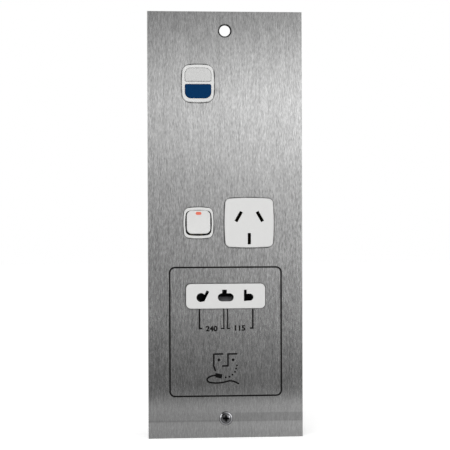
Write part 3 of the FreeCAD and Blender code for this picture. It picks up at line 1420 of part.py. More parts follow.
def shaver_housing():
    """Deep box behind the shaver outlet, held by lugs on four studs and open at the back."""
    case = Moulding("shaver_housing", 0, 0, -CASE_DROP)
    case.slab(rounded(CASE_WIDTH, CASE_HEIGHT, dim.case_corner), 0, CASE_DEPTH)
    walls = dim.case_wall * 2
    case.cut(rounded(CASE_WIDTH - walls, CASE_HEIGHT - walls, dim.case_corner / 2), CASE_FLOOR,
             CASE_DEPTH)
    lug = dim.case_lug_reach + dim.case_wall
    spots = [(x, z + CASE_DROP) for x, z in case_spots]
    for x, z in spots:
        side = 1 if x.value > 0 else -1
        case.slab(rounded(lug, dim.case_lug_width, dim.case_corner / 2, None,
                          x - dim.case_wall / 2 * side, z), 0, dim.case_lug_thickness)
    case.cut([disc(dim.stud_diameter + dim.stud_clearance * 2, *spot)[0] for spot in spots], 0,
             dim.case_lug_thickness)
    for x, z in boss_spots:
        case.slab(rectangle(dim.cover_boss, dim.cover_boss, x, z + CASE_DROP), dim.case_wall,
                  CASE_DEPTH)
    for x, z in core_spots:
        case.slab(disc(dim.core_post, x, z + CASE_DROP), dim.case_wall, CORE_FRONT)
    case.cut([disc(dim.cover_screw + dim.pillar_clearance, x, z + CASE_DROP)[0] for x, z in boss_spots],
             CASE_DEPTH - dim.cover_screw_length, CASE_DEPTH)
    case.cut([disc(dim.core_screw + dim.pillar_clearance, x, z + CASE_DROP)[0] for x, z in core_spots],
             CASE_FLOOR, CORE_FRONT)
    up = CASE_DROP - INSERT_DROP
    margin = dim.flange_margin * 2 + WINDOW_FIT
    case.cut(rounded(dim.insert_width + margin, dim.insert_height + margin, dim.flange_corner, None, 0, up),
             0, dim.flange_thickness + dim.pivot_clearance)
    case.cut(rectangle(BASE_WIDTH + WINDOW_FIT, BASE_HEIGHT + WINDOW_FIT, 0, up - BASE_FALL),
             0, CASE_FLOOR)
    case.cut([disc(SCREW_PILOT, x, z + CASE_DROP)[0] for x, z in base_ears], dim.stud_clearance * 2,
             CASE_FLOOR)


BOSS_INSET = dim.case_wall + dim.cover_boss / 2 - dim.stud_clearance
boss_spots = [
    (CASE_WIDTH / 2 * a - BOSS_INSET * a, CASE_HEIGHT / 2 * b - BOSS_INSET * b - CASE_DROP)
    for a, b in ((-1, 1), (1, 1), (-1, -1), (1, -1))
]
core_spots = [
    (CORE_WIDTH / 2 * a - dim.core_hole_inset * a,
     CORE_HEIGHT / 2 * b - dim.core_hole_inset * b - CORE_DROP)
    for a, b in ((-1, 1), (1, 1), (-1, -1), (1, -1))
]
mains_pillars = [(dim.mains_pitch * a, -INSERT_DROP - dim.mains_fall) for a in (-1, 0, 1)]


def housing_cover():
    """Moulded back cover with cooling slots and the mains terminals' square holes."""
    cover = Moulding("housing_cover", 0, 0, -CASE_DROP)
    cover.slab(rounded(CASE_WIDTH, CASE_HEIGHT, dim.case_corner), CASE_DEPTH, COVER_BACK)
    fall = CORE_DROP - CASE_DROP
    slots = []
    for side in (-1, 1):
        for row in (-2, -1, 0, 1, 2):
            slots += stadium(dim.vent_length, dim.vent_width,
                             (dim.vent_length + dim.vent_spacing) / 2 * side,
                             dim.vent_pitch * row - fall)
    cover.cut(slots, CASE_DEPTH, COVER_BACK)
    cover.cut([disc(dim.cover_screw + dim.seat_clearance * 2, x, z + CASE_DROP)[0]
               for x, z in boss_spots], CASE_DEPTH, COVER_BACK)
    pillar_holes(cover, [(x, z + CASE_DROP) for x, z in mains_pillars], COVER_BACK, dim.cover_thickness)


def transformer():
    """Laminated core, bobbin and two windings of the isolating transformer."""
    back, middle = CORE_FRONT + dim.core_stack, CORE_MIDDLE
    core = Moulding("transformer_core", 0, 0, -CORE_DROP)
    core.slab(rectangle(CORE_WIDTH, CORE_HEIGHT), CORE_FRONT, back)
    limb = dim.core_limb
    windows = []
    for side in (-1, 1):
        windows += rectangle(limb, CORE_HEIGHT - limb * 2, limb * 1.5 * side)
    core.cut(windows, CORE_FRONT, back)
    core.cut([disc(dim.core_hole, x, z + CORE_DROP)[0] for x, z in core_spots], CORE_FRONT, back)

    bobbin = Moulding("transformer_bobbin", 0, middle, -CORE_DROP)
    half = CORE_HEIGHT / 2 - limb - dim.bobbin_clearance
    inner = limb * 2 + dim.bobbin_clearance * 2
    deep = dim.core_stack + dim.bobbin_clearance * 2
    outer, deeper = inner + dim.bobbin_wall * 2, deep + dim.bobbin_wall * 2
    edge = (limb * 4 - dim.bobbin_side_gap * 2, BOBBIN_DEPTH)
    flange = dim.bobbin_flange
    bobbin.slab(rectangle(outer, deeper), -half, half, "z")
    for low, high in ((-half, flange - half), (-flange / 2, flange / 2), (half - flange, half)):
        bobbin.slab(rectangle(*edge), low, high, "z")
    bobbin.cut(rectangle(inner, deep), -half, half, "z")
    wound = outer + COIL_BUILD * 2
    wound_deep = deeper + COIL_BUILD * 2
    for label, low, high in (
        ("primary_winding", flange / 2, half - flange),
        ("secondary_winding", flange - half, -flange / 2),
    ):
        winding = Moulding(label, 0, middle, -CORE_DROP)
        winding.slab(rounded(wound, wound_deep, dim.coil_corner) + rectangle(outer, deeper), low, high, "z")

    top = CORE_HEIGHT / 2 - CORE_DROP
    keep(block("thermal_cutout", (-dim.cutout_length / 2, dim.cutout_length / 2),
               (middle - dim.cutout_width / 2, middle + dim.cutout_width / 2),
               (top, top + dim.cutout_thickness)), "thermal_cutout")


def earth_bond():
    """Solder tag and nut on the plate's earth stud."""
    x, z = dim.earth_stud_offset, -EARTH_DROP
    bore = dim.earth_stud_diameter + dim.stud_clearance * 2
    tag = Moulding("earth_tag", x, 0, z)
    tag.slab(disc(dim.retainer_diameter), 0, dim.earth_tag_thickness)
    tag.slab(rounded(dim.arm_width, dim.earth_tag_length, dim.box_corner / 2, None, 0,
                     dim.earth_tag_length / 2), 0, dim.earth_tag_thickness)
    tag.cut(disc(bore), 0, dim.earth_tag_thickness)
    keep(together("earth_nut", nuts("earth_nut", [(x, z)], dim.earth_tag_thickness,
                                    dim.earth_nut_across_flats, dim.earth_nut_height,
                                    dim.earth_stud_diameter + dim.pillar_clearance)), "earth_nut")


def fasteners():
    """Nuts on the welded studs, and the screws behind the modules and the transformer."""
    bore = dim.stud_diameter + dim.pillar_clearance
    keep(together("carrier_nuts", nuts("carrier_nut", carrier_spots, CARRIER_BACK, dim.nut_across_flats,
                                       dim.nut_height, bore)), "carrier_nuts")
    keep(together("housing_nuts", nuts("housing_nut", case_spots, dim.case_lug_thickness,
                                       dim.nut_across_flats, dim.nut_height, bore)), "housing_nuts")
    seat = CARRIER_BACK + dim.ear_thickness
    length = seat - dim.stud_clearance * 3
    keep(together("module_screws", screws("module_screw", breaker_ears + switch_ears + socket_ears, seat,
                                          dim.module_screw, length, dim.module_screw_head,
                                          dim.module_screw_head_height)), "module_screws")
    seat = CASE_FLOOR + dim.ear_thickness
    keep(together("base_screws", screws("base_screw", base_ears, seat, dim.module_screw,
                                        seat - dim.stud_clearance * 3, dim.module_screw_head,
                                        dim.module_screw_head_height)), "base_screws")
    keep(together("cover_screws", screws("cover_screw", boss_spots, COVER_BACK, dim.cover_screw,
                                         dim.cover_screw_length, dim.cover_screw_head,
                                         dim.cover_screw_head_height)), "cover_screws")
    seat = CORE_FRONT + dim.core_stack
    keep(together("core_screws", screws("core_screw", core_spots, seat, dim.core_screw,
                                        seat - CASE_FLOOR - dim.stud_clearance,
                                        dim.cover_screw_head, dim.cover_screw_head_height)), "core_screws")
    keep(together("mains_terminals", [pillar(f"mains_pillar_{n}", spot, COVER_BACK, dim.cover_thickness)
                                      for n, spot in enumerate(mains_pillars, start=1)]), "mains_terminals")
    pillar_screws("mains_terminal_screws", mains_pillars, COVER_BACK)


def breaker_springs():
    """Return springs of the two buttons, round their stems."""
    radius = dim.stem_diameter / 2 + dim.spring_gap + dim.spring_wire / 2
    for label, up in (("reset_spring", RESET_UP), ("test_spring", TEST_UP)):
        coil(label, "y", (-dim.breaker_offset, 0, up - dim.breaker_drop), SHOULDER_BACK, dim.board_front,
             radius)


def build():
    faceplate()
    fixing_screw()
    screw_retainer()
    carrier_frame()
    breaker_bezel()
    button("reset_button", dim.reset_height, RESET_UP, dim.button_corner, dim.button_small_corner)
    button("test_button", dim.test_height, TEST_UP, dim.button_small_corner, dim.button_corner)
    breaker_springs()
    breaker_housing()
    breaker_inside()
    switch_bezel()
    rocker()
    rocker_parts()
    seesaw()
    switch_inside()
    socket_front()
    socket_inside()
    shaver_insert()
    shaver_base()
    shaver_contacts()
    shaver_housing()
    housing_cover()
    transformer()
    earth_bond()
    fasteners()


def check_document():
    """Stops the build if any object failed to solve."""
    doc.recompute()
    for thing in doc.Objects:
        if "Invalid" in thing.State or "Error" in thing.State:
            raise ValueError(f"{thing.Label} is not solved")
    for thing in nodes:
        if thing.Shape.isNull() or not thing.Shape.isValid() or thing.Shape.Volume <= 0:
            raise ValueError(f"{thing.Label} has no sound solid")


build()
check_document()
os.makedirs("parts", exist_ok=True)
for node in nodes:
    node.Shape.exportStep(f"parts/{node.Label}.step")
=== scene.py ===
"""Dressing of a tall steel wall plate with a breaker, a switch, an outlet and a shaver outlet."""
import logging
import math
from dataclasses import dataclass, field
from enum import Enum
from functools import reduce

import bmesh
import bpy
from mathutils import Matrix, Vector


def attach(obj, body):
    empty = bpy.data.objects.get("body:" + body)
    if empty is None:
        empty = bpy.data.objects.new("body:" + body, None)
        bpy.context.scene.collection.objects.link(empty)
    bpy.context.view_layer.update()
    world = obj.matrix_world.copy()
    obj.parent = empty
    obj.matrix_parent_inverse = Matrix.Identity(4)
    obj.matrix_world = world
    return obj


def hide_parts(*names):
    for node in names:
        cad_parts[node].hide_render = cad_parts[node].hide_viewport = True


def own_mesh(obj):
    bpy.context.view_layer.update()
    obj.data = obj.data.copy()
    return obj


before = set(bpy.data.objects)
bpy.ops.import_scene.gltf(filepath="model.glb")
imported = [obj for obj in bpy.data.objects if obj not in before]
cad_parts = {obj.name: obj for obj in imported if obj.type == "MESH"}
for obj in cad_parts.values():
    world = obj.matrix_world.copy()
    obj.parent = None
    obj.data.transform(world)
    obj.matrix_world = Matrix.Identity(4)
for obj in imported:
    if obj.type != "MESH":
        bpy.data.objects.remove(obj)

log = logging.getLogger("shaver_socket")

MM = 0.001
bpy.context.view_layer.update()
FLOOR = -0.2625
ORIGIN = (0, 0, 0)
UPRIGHT = Matrix.Rotation(math.pi / 2, 3, "X")
MERGE_DISTANCE = 1e-7


def linear(*shades: float) -> tuple[float, ...]:
    """Turn screen values of 0 to 255 into linear light by the sRGB curve.

    Args:
        shades: One value, used for red, green and blue alike, or three.

    Returns:
        Red, green, blue and an alpha of 1.
    """
    shades = shades * 3 if len(shades) == 1 else shades
    made = []
    for shade in shades:
        part = shade / 255
        made.append(part / 12.92 if part <= 0.04045 else ((part + 0.055) / 1.055) ** 2.4)
    return (*made, 1.0)


class Axis(Enum):
    """A direction that a pattern runs along."""

    ACROSS = 0
    INWARD = 1
    UP = 2


class Signal:
    """What flows out of one socket of a shader, with arithmetic on it."""

    def __init__(self, shader: "Shader", socket: bpy.types.NodeSocket) -> None:
        """Keep the shader and the socket."""
        self.shader, self.socket = shader, socket

    def _math(self, operation: str, first: object, second: object = 0.0) -> "Signal":
        """Add one Math node and return its result."""
        return self.shader.node("ShaderNodeMath", {"operation": operation}, {0: first, 1: second})

    def __add__(self, other: object) -> "Signal":
        """Return the sum."""
        return self._math("ADD", self, other)

    def __radd__(self, other: object) -> "Signal":
        """Return the sum."""
        return self._math("ADD", other, self)

    def __sub__(self, other: object) -> "Signal":
        """Return the difference."""
        return self._math("SUBTRACT", self, other)

    def __rsub__(self, other: object) -> "Signal":
        """Return the difference, turned round."""
        return self._math("SUBTRACT", other, self)

    def __mul__(self, other: object) -> "Signal":
        """Return the product."""
        return self._math("MULTIPLY", self, other)

    def __rmul__(self, other: object) -> "Signal":
        """Return the product."""
        return self._math("MULTIPLY", other, self)

    def __truediv__(self, other: object) -> "Signal":
        """Return the quotient."""
        return self._math("DIVIDE", self, other)

    def near(self, middle: float, reach: float) -> "Signal":
        """Return 1 where the value is within reach of a middle, else 0."""
        return self.shader.node("ShaderNodeMath", {"operation": "COMPARE"},
                                {0: self, 1: middle, 2: reach})

    def or_more(self, other: object) -> "Signal":
        """Return the larger of two values."""
        return self._math("MAXIMUM", self, other)

    def size(self) -> "Signal":
        """Return the value without its sign."""
        return self._math("ABSOLUTE", self)

    def power(self, exponent: float) -> "Signal":
        """Return the value raised to a power."""
        return self._math("POWER", self, exponent)

    def diagonal(self, other: "Signal") -> "Signal":
        """Return the diagonal of a rectangle whose sides are this value and another."""
        return (self * self + other * other).power(0.5)

    def ridges(self, pitch: float) -> "Signal":
        """Return a wave between 0 and 1 that repeats at a pitch."""
        return self._math("SINE", self * (math.tau / pitch)) * 0.5 + 0.5

    def span(self, low: float, high: float, first: float = 0.0, last: float = 1.0) -> "Signal":
        """Blend smoothly from one value to another as this one goes from low to high.

        Args:
            low: Where the blend starts.
            high: Where it ends.
            first: The result at low and before it.
            last: The result at high and after it.

        Returns:
            The blended value.
        """
        settings = {"interpolation_type": "SMOOTHSTEP", "clamp": True}
        return self.shader.node("ShaderNodeMapRange", settings, {
            "Value": self, "From Min": low, "From Max": high, "To Min": first, "To Max": last,
        })


class Shader:
    """A node tree that is written as expressions."""

    def __init__(self, tree: bpy.types.NodeTree) -> None:
        """Empty the tree and keep it."""
        self.tree = tree
        self.tree.nodes.clear()

    def node(self, kind: str, settings: dict | None = None, inputs: dict | None = None,
             output: int | str = 0) -> Signal:
        """Add a node.

        Args:
            kind: The node's type.
            settings: Its properties; stops gives a ramp's positions and colours.
            inputs: A value or a signal for each socket that is used.
            output: The socket whose result is wanted.

        Returns:
            The signal from that socket.
        """
        made = self.tree.nodes.new(kind)
        for name, value in (settings or {}).items():
            if name == "stops":
                self._ramp(made.color_ramp, value)
            else:
                setattr(made, name, value)
        for name, value in (inputs or {}).items():
            if isinstance(value, Signal):
                self.tree.links.new(value.socket, made.inputs[name])
            else:
                made.inputs[name].default_value = value
        return Signal(self, made.outputs[output]) if made.outputs else Signal(self, None)

    @staticmethod
    def _ramp(ramp: bpy.types.ColorRamp, stops: list[tuple[float, tuple]]) -> None:
        """Give a ramp its stops.

        Args:
            ramp: The ramp.
            stops: A position and a colour for each stop.
        """
        while len(ramp.elements) < len(stops):
            ramp.elements.new(1.0)
        while len(ramp.elements) > len(stops):
            ramp.elements.remove(ramp.elements[-1])
        for element, (position, colour) in zip(ramp.elements, stops):
            element.position, element.color = position, colour

    def place(self) -> Signal:
        """Return the point on the object, in metres."""
        return self.node("ShaderNodeTexCoord", output="Object")

    def along(self, axis: Axis) -> Signal:
        """Return one coordinate of the point on the object, in metres."""
        return self.node("ShaderNodeSeparateXYZ", None, {0: self.place()}, axis.value)

    def mm(self, axis: Axis) -> Signal:
        """Return one coordinate of the point on the object, in millimetres."""
        return self.along(axis) / MM

    def within(self, middle: tuple[float, float], half: tuple[float, float]) -> Signal:
        """Return 1 inside an upright rectangle given in millimetres, else 0."""
        return (self.mm(Axis.ACROSS).near(middle[0], half[0])
                * self.mm(Axis.UP).near(middle[1], half[1]))

    def stretched(self, across: float, inward: float, up: float) -> Signal:
        """Return the point on the object with its three coordinates scaled."""
        return self.node("ShaderNodeVectorMath", {"operation": "MULTIPLY"},
                         {0: self.place(), 1: (across, inward, up)})

    def noise(self, across: float, inward: float | None = None, up: float | None = None,
              detail: float = 2.0) -> Signal:
        """Return a noise about 0, between -0.5 and 0.5.

        Args:
            across: Cells in a metre along X.
            inward: Cells in a metre along Y, or none to take the same number.
            up: Cells in a metre along Z, or none to take the same number.
            detail: How many finer layers are added.

        Returns:
            The noise's value.
        """
        inward = across if inward is None else inward
        up = across if up is None else up
        return self.node("ShaderNodeTexNoise", None, {
            "Vector": self.stretched(across, inward, up), "Scale": 1.0, "Detail": detail,
        }) - 0.5

    def blend(self, factor: object, first: object, second: object) -> Signal:
        """Mix two colours by a factor."""
        return self.node("ShaderNodeMix", {"data_type": "RGBA"},
                         {0: factor, 6: first, 7: second}, 2)

    def shade(self, colour: object, factor: object) -> Signal:
        """Multiply a colour by a number.

        Args:
            colour: The colour, or a signal that carries one.
            factor: The number, or a signal that carries one.

        Returns:
            The shaded colour.
        """
        grey = self.node("ShaderNodeCombineColor", None, {0: factor, 1: factor, 2: factor})
        return self.node("ShaderNodeMix", {"data_type": "RGBA", "blend_type": "MULTIPLY"},
                         {0: 1.0, 6: colour, 7: grey}, 2)

    def relief(self, height: Signal, strength: float, depth: float) -> Signal:
        """Turn a height into a normal, for a relief whose depth is in millimetres."""
        return self.node("ShaderNodeBump", None,
                         {"Height": height, "Strength": strength, "Distance": depth * MM})

    def surface(self, **inputs: object) -> None:
        """Finish the tree with one principled surface.

        Args:
            inputs: What each socket gets, its name written with _ for a space.
        """
        named = {name.replace("_", " "): value for name, value in inputs.items()}
        body = self.node("ShaderNodeBsdfPrincipled", None, named)
        self.node("ShaderNodeOutputMaterial", None, {"Surface": body})


def blank(name: str) -> tuple[bpy.types.Material, Shader]:
    """Start a material.

    Args:
        name: Its name.

    Returns:
        The material and the shader that writes it.
    """
    made = bpy.data.materials.new(name)
    made.use_nodes = True
    return made, Shader(made.node_tree)


@dataclass(frozen=True)
class Finish:
    """A surface of one colour with a name; the kinds below give it its pattern.

    In each kind, cells are a pattern's cells in a metre, and relief is how strong the bump is
    and how deep, in millimetres.
    """

    name: str
    slot: str
    colour: tuple[float, ...]
    roughness: float = 0.4

    def draw(self, shader: Shader) -> None:
        """Write the shader. Each kind has its own."""
        raise NotImplementedError

    def material(self) -> bpy.types.Material:
        """Make the material on first use.

        Returns:
            The material, the same one each time.
        """
        made = bpy.data.materials.get(self.name)
        if made is None:
            made, shader = blank(self.name)
            made.diffuse_color = self.colour
            self.draw(shader)
        return made


@dataclass(frozen=True)
class CutOut:
    """A hole punched in the sheet, in millimetres, with a painted shadow line round its edge.

    The painted shade is darkest up to lip from the hole, and the sheet is plain again at roll.
    """

    across: float
    up: float
    width: float
    height: float
    corner: float
    bulge: float = 0.0
    roll: float = 0.5
    lip: float = 0.1

    def painted_rim(self, shader: Shader) -> Signal:
        """Find the painted shadow line round the hole.

        Args:
            shader: The sheet's shader.

        Returns:
            1 at the hole's edge, falling to 0 a short way off.
        """
        across = (shader.mm(Axis.ACROSS) - self.across).size()
        up = (shader.mm(Axis.UP) - self.up).size()
        half_width, half_height = self.width / 2, self.height / 2
        aside = across + (up / half_height).power(2) * self.bulge - (half_width - self.corner)
        above = up + (across / half_width).power(2) * self.bulge - (half_height - self.corner)
        away = aside.or_more(0).diagonal(above.or_more(0)) - self.corner
        return away.span(self.lip, self.roll, 1.0, 0.0)


@dataclass(frozen=True)
class Streaks:
    """A layer of upright streaks: cells in a metre across and up, finer layers and its share."""

    across: float
    up: float
    detail: float
    share: float

    def lay(self, shader: Shader) -> Signal:
        """Return the layer's noise."""
        return shader.noise(self.across, up=self.up, detail=self.detail)


@dataclass(frozen=True)
class BrushedSheet(Finish):
    """Stainless sheet with an upright grain, faint smears, a few scratches and worn places, with
    painted shade round and inside its cut-outs and a painted reflection near its foot.

    Places are in millimetres. A fade is the two places it runs between, then its value at each.
    """

    tone: float = 0.97
    spread: float = 0.85
    contrast: float = 1.14
    long: Streaks = Streaks(2000, 110, 1, 0.42)
    middling: Streaks = Streaks(2100, 260, 1, 0.62)
    short: Streaks = Streaks(1900, 480, 0, 0.6)
    fine: Streaks = Streaks(4200, 420, 2, 0.3)
    bands: Streaks = Streaks(420, 14, 2, 0.2)
    smears: Streaks = Streaks(38, 26, 3, 0.06)
    scratches: Streaks = Streaks(2300, 40, 0, 0.08)
    scratch_edge: tuple[float, float] = (0.19, 0.24)
    scratch_depth: float = 0.4
    dulling: float = 0.08
    relief: tuple[float, float] = (0.04, 0.06)
    foot_wear: tuple[float, ...] = (-242, -228, 0.42, 1.0)
    head_wear: tuple[float, ...] = (-130, -70, 1.04, 0.86)
    front: float = -1.2
    middle: tuple[float, float] = (0, -125)
    half: tuple[float, float] = (48, 135.5)
    wall_shade_fade: tuple[float, ...] = (0.03, 0.15, 0.0, 0.85)
    cut_outs: tuple[CutOut, ...] = ()
    rim_cells: float = 260
    rim_breaks: tuple[float, ...] = (-0.18, 0.05, 0.5, 0.92)
    # A painted reflection near the foot: a dark line and a band above it, darker to the right.
    reflection_line: float = -251.4
    line_fade: tuple[float, ...] = (0.1, 1.1, 0.2, 0.0)
    band_rise: float = 2.65
    band_fade: tuple[float, ...] = (2.0, 2.75, 1.0, 0.0)
    band_side: tuple[float, ...] = (2, 7, 0.05, 0.17)

    def _painted_edge_shade(self, shader: Shader) -> Signal:
        """Return how dark the painted shade round the cut-outs is, broken up a little."""
        darkest = reduce(Signal.or_more, [cut_out.painted_rim(shader) for cut_out in self.cut_outs])
        return darkest * shader.noise(self.rim_cells, detail=1).span(*self.rim_breaks)

    def _painted_reflection(self, shader: Shader) -> Signal:
        """Find the painted reflection near the foot: a dark line and a darker band above it.

        Args:
            shader: The sheet's shader.

        Returns:
            How dark they are.
        """
        above = shader.mm(Axis.UP) - self.reflection_line
        line = above.size().span(*self.line_fade)
        band = (above - self.band_rise).size().span(*self.band_fade)
        return line.or_more(band * shader.mm(Axis.ACROSS).span(*self.band_side))

    def draw(self, shader: Shader) -> None:
        """Lay long, middling, short and fine streaks over each other.

        Args:
            shader: The shader to write.
        """
        middling, fine = self.middling.lay(shader), self.fine.lay(shader)
        scratch = self.scratches.lay(shader).span(*self.scratch_edge)
        grain = (self.long.lay(shader) * self.long.share + middling * self.middling.share
                 + self.short.lay(shader) * self.short.share + fine * self.fine.share)
        up = shader.mm(Axis.UP)
        worn = up.span(*self.foot_wear) * up.span(*self.head_wear)
        grain = (grain * self.contrast + self.bands.lay(shader) * self.bands.share) * worn
        tone = self.tone + grain - scratch * self.scratches.share
        # Painted shade on the steel behind its front: the walls inside the cut-outs.
        cut = (shader.mm(Axis.INWARD) - self.front).span(*self.wall_shade_fade)
        cut = cut * shader.within(self.middle, self.half)
        dark = (1 - cut) * (1 - self._painted_edge_shade(shader)) * (1 - self._painted_reflection(shader))
        smears = self.smears.lay(shader) * self.smears.share
        height = (middling + fine) / 2 - scratch * self.scratch_depth
        shader.surface(
            Base_Color=shader.shade(self.colour, tone * dark),
            Roughness=self.roughness + fine * self.dulling + smears,
            Metallic=1.0,
            Anisotropic=self.spread,
            Normal=shader.relief(height, *self.relief),
        )


@dataclass(frozen=True)
class PaintedShade:
    """Painted shade on the inner part of a moulding, darker where its walls sink, in millimetres.

    Inside the rectangle of middle and half, onset says how far behind the face the painted shade
    begins and is full. Elsewhere plate gives the two places, behind the steel. The painted shade
    ends at end, and fade is how far before that it begins to go.
    """

    face: float
    middle: tuple[float, float] = (0, -125)
    half: tuple[float, float] = (60, 150)
    onset: tuple[float, float] = (0.1, 0.45)
    plate: tuple[float, float] = (-1.15, -0.5)
    end: float = 90.0
    fade: float = 1.0
    depth: float = 0.97

    def shadow(self, shader: Shader) -> Signal:
        """Find how dark the painted shade makes the moulding.

        Args:
            shader: The moulding's shader.

        Returns:
            How much of the light is lost, from 0 to 1.
        """
        inward = shader.mm(Axis.INWARD)
        sunk = (inward - self.face).span(*self.onset) * shader.within(self.middle, self.half)
        hidden = inward.span(*self.plate)
        return sunk.or_more(hidden) * inward.span(self.end - self.fade, self.end, self.depth, 0)


@dataclass(frozen=True)
class Moulded(Finish):
    """Moulded plastic with a hint of texture, faint clouding and a little dust."""

    grain: float = 0.05
    depth: float = 0.1
    peel: float = 0.7
    clouding: float = 0.03
    dulling: float = 0.08
    matting: float = 0.1
    dust: float = 0.03
    dust_edge: tuple[float, float] = (0.2, 0.28)
    cloud_cells: float = 70
    peel_cells: float = 420
    dust_cells: float = 1900
    texture_cells: float = 5200
    gloss: float = 0.5
    painted_shade: PaintedShade | None = None

    def draw(self, shader: Shader) -> None:
        """Lay a fine texture over soft clouds.

        Args:
            shader: The shader to write.
        """
        clouds = shader.noise(self.cloud_cells, detail=3)
        texture = shader.noise(self.texture_cells)
        specks = shader.noise(self.dust_cells, detail=1).span(*self.dust_edge)
        tone = 1.0 + clouds * self.clouding - specks * self.dust
        # Painted shade in the recesses and behind the plate.
        if self.painted_shade:
            tone = tone * (1 - self.painted_shade.shadow(shader))
        height = shader.noise(self.peel_cells) * self.peel + texture * (1 - self.peel)
        shader.surface(
            Base_Color=shader.shade(self.colour, tone),
            Specular_IOR_Level=self.gloss,
            Roughness=self.roughness + clouds * self.dulling + texture * self.matting,
            Normal=shader.relief(height, self.grain, self.depth),
        )


@dataclass(frozen=True)
class PlainMetal(Finish):
    """Plated or turned metal with fine scratches and dull patches.

    recess is the middle of a screw's recess, in millimetres. From there outwards, slope paints a
    dark reflection in the middle, groove a painted shade in the ring round the head and rim a
    painted highlight on its edge. Each is two distances, then its value at each.
    """

    tone: float = 0.97
    variation: float = 0.14
    dulling: float = 0.12
    scuffing: float = 0.1
    patch_cells: float = 220
    scratch_cells: tuple[float, float] = (3800, 260)
    relief: tuple[float, float] = (0.08, 0.06)
    recess: tuple[float, float] | None = None
    dark_middle: tuple[float, ...] = (1.4, 2.2, 0.35, 1.0)
    groove: tuple[float, ...] = (2.8, 3.1, 0.0, 0.4)
    painted_rim: tuple[float, ...] = (3.3, 3.5, 0.0, 1.8)
    painted_shade: PaintedShade | None = None

    def draw(self, shader: Shader) -> None:
        """Lay scratches in two directions over dull patches.

        Args:
            shader: The shader to write.
        """
        patches = shader.noise(self.patch_cells, detail=3)
        fine, long = self.scratch_cells
        marks = (shader.noise(fine, up=long) + shader.noise(long, fine, fine)) / 2
        tone = self.tone + (patches + marks) * self.variation
        # Painted reflection, shade and highlight on the screw's head, by distance from its middle.
        if self.recess:
            aside = shader.mm(Axis.ACROSS) - self.recess[0]
            away = aside.diagonal(shader.mm(Axis.UP) - self.recess[1])
            tone = tone * (away.span(*self.dark_middle) - away.span(*self.groove) + away.span(*self.painted_rim))
        # Painted shade in the recess.
        if self.painted_shade:
            tone = tone * (1 - self.painted_shade.shadow(shader))
        shader.surface(
            Base_Color=shader.shade(self.colour, tone),
            Roughness=self.roughness + patches * self.dulling + marks * self.scuffing,
            Metallic=1.0,
            Normal=shader.relief(marks, *self.relief),
        )


@dataclass(frozen=True)
class Wound(Finish):
    """Enamelled wire laid in turns, one layer of them showing."""

    axis: Axis = Axis.UP
    pitch: float = 0.5
    sharpness: float = 0.6
    groove_shade_tone: float = 0.42
    ridge_tone: float = 0.5
    patch_tone: float = 0.25
    patch_cells: float = 260
    dulling: float = 0.12
    metal: float = 0.85
    varnish: float = 0.6
    relief: tuple[float, float] = (0.7, 0.1)

    def draw(self, shader: Shader) -> None:
        """Draw the turns as ridges, with painted shade in the dark lines between them.

        Args:
            shader: The shader to write.
        """
        ridge = shader.mm(self.axis).ridges(self.pitch).power(self.sharpness)
        patches = shader.noise(self.patch_cells)
        # Painted shade between the turns, lighter on their tops.
        tone = self.groove_shade_tone + ridge * self.ridge_tone + patches * self.patch_tone
        shader.surface(
            Base_Color=shader.shade(self.colour, tone),
            Roughness=self.roughness + patches * self.dulling,
            Metallic=self.metal,
            Coat_Weight=self.varnish,
            Normal=shader.relief(ridge, *self.relief),
        )


@dataclass(frozen=True)
class Stacked(Finish):
    """Varnished sheets of iron in a stack, their cut edges showing as lines.

    The unevenness has cells across and inward, and the drips have them across and up.
    """

    pitch: float = 0.5
    tone: float = 0.85
    sheet_tone: float = 0.35
    uneven_tone: float = 0.4
    uneven_cells: tuple[float, float] = (60, 2600)
    drip_tone: float = 0.2
    drip_cells: tuple[float, float] = (120, 60)
    dulling: float = 0.2
    metal: float = 0.6
    sheet_depth: float = 0.6
    relief: tuple[float, float] = (0.5, 0.1)

    def draw(self, shader: Shader) -> None:
        """Draw the sheets as lines of slightly different tone.

        Args:
            shader: The shader to write.
        """
        sheet = shader.mm(Axis.INWARD).ridges(self.pitch)
        uneven = shader.noise(self.uneven_cells[0], inward=self.uneven_cells[1], detail=1)
        drips = shader.noise(self.drip_cells[0], up=self.drip_cells[1], detail=3)
        tone = (self.tone + sheet * self.sheet_tone + uneven * self.uneven_tone
                + drips * self.drip_tone)
        height = sheet * self.sheet_depth + uneven * (1 - self.sheet_depth)
        shader.surface(
            Base_Color=shader.shade(self.colour, tone),
            Roughness=self.roughness + drips * self.dulling,
            Metallic=self.metal,
            Normal=shader.relief(height, *self.relief),
        )


@dataclass(frozen=True)
class CircuitBoard(Finish):
    """Resin-coated board with copper tracks showing through the coating."""

    track: tuple[float, ...] = (0.06, 0.3, 0.13, 1.0)
    track_edge: tuple[float, float] = (0.05, 0.12)
    track_cells: float = 170
    weave_cells: float = 1400
    weaving: float = 0.15
    resin: float = 0.4
    relief: tuple[float, float] = (0.1, 0.1)

    def draw(self, shader: Shader) -> None:
        """Draw tracks as the edges of large cells.

        Args:
            shader: The shader to write.
        """
        edges = shader.node(
            "ShaderNodeTexVoronoi", {"feature": "DISTANCE_TO_EDGE", "distance": "MANHATTAN"},
            {"Vector": shader.stretched(self.track_cells, 0, self.track_cells), "Scale": 1.0},
            "Distance")
        weave = shader.noise(self.weave_cells)
        shader.surface(
            Base_Color=shader.blend(edges.span(*self.track_edge), self.track, self.colour),
            Roughness=self.roughness + weave * self.weaving,
            Coat_Weight=self.resin,
            Normal=shader.relief(weave, *self.relief),
        )


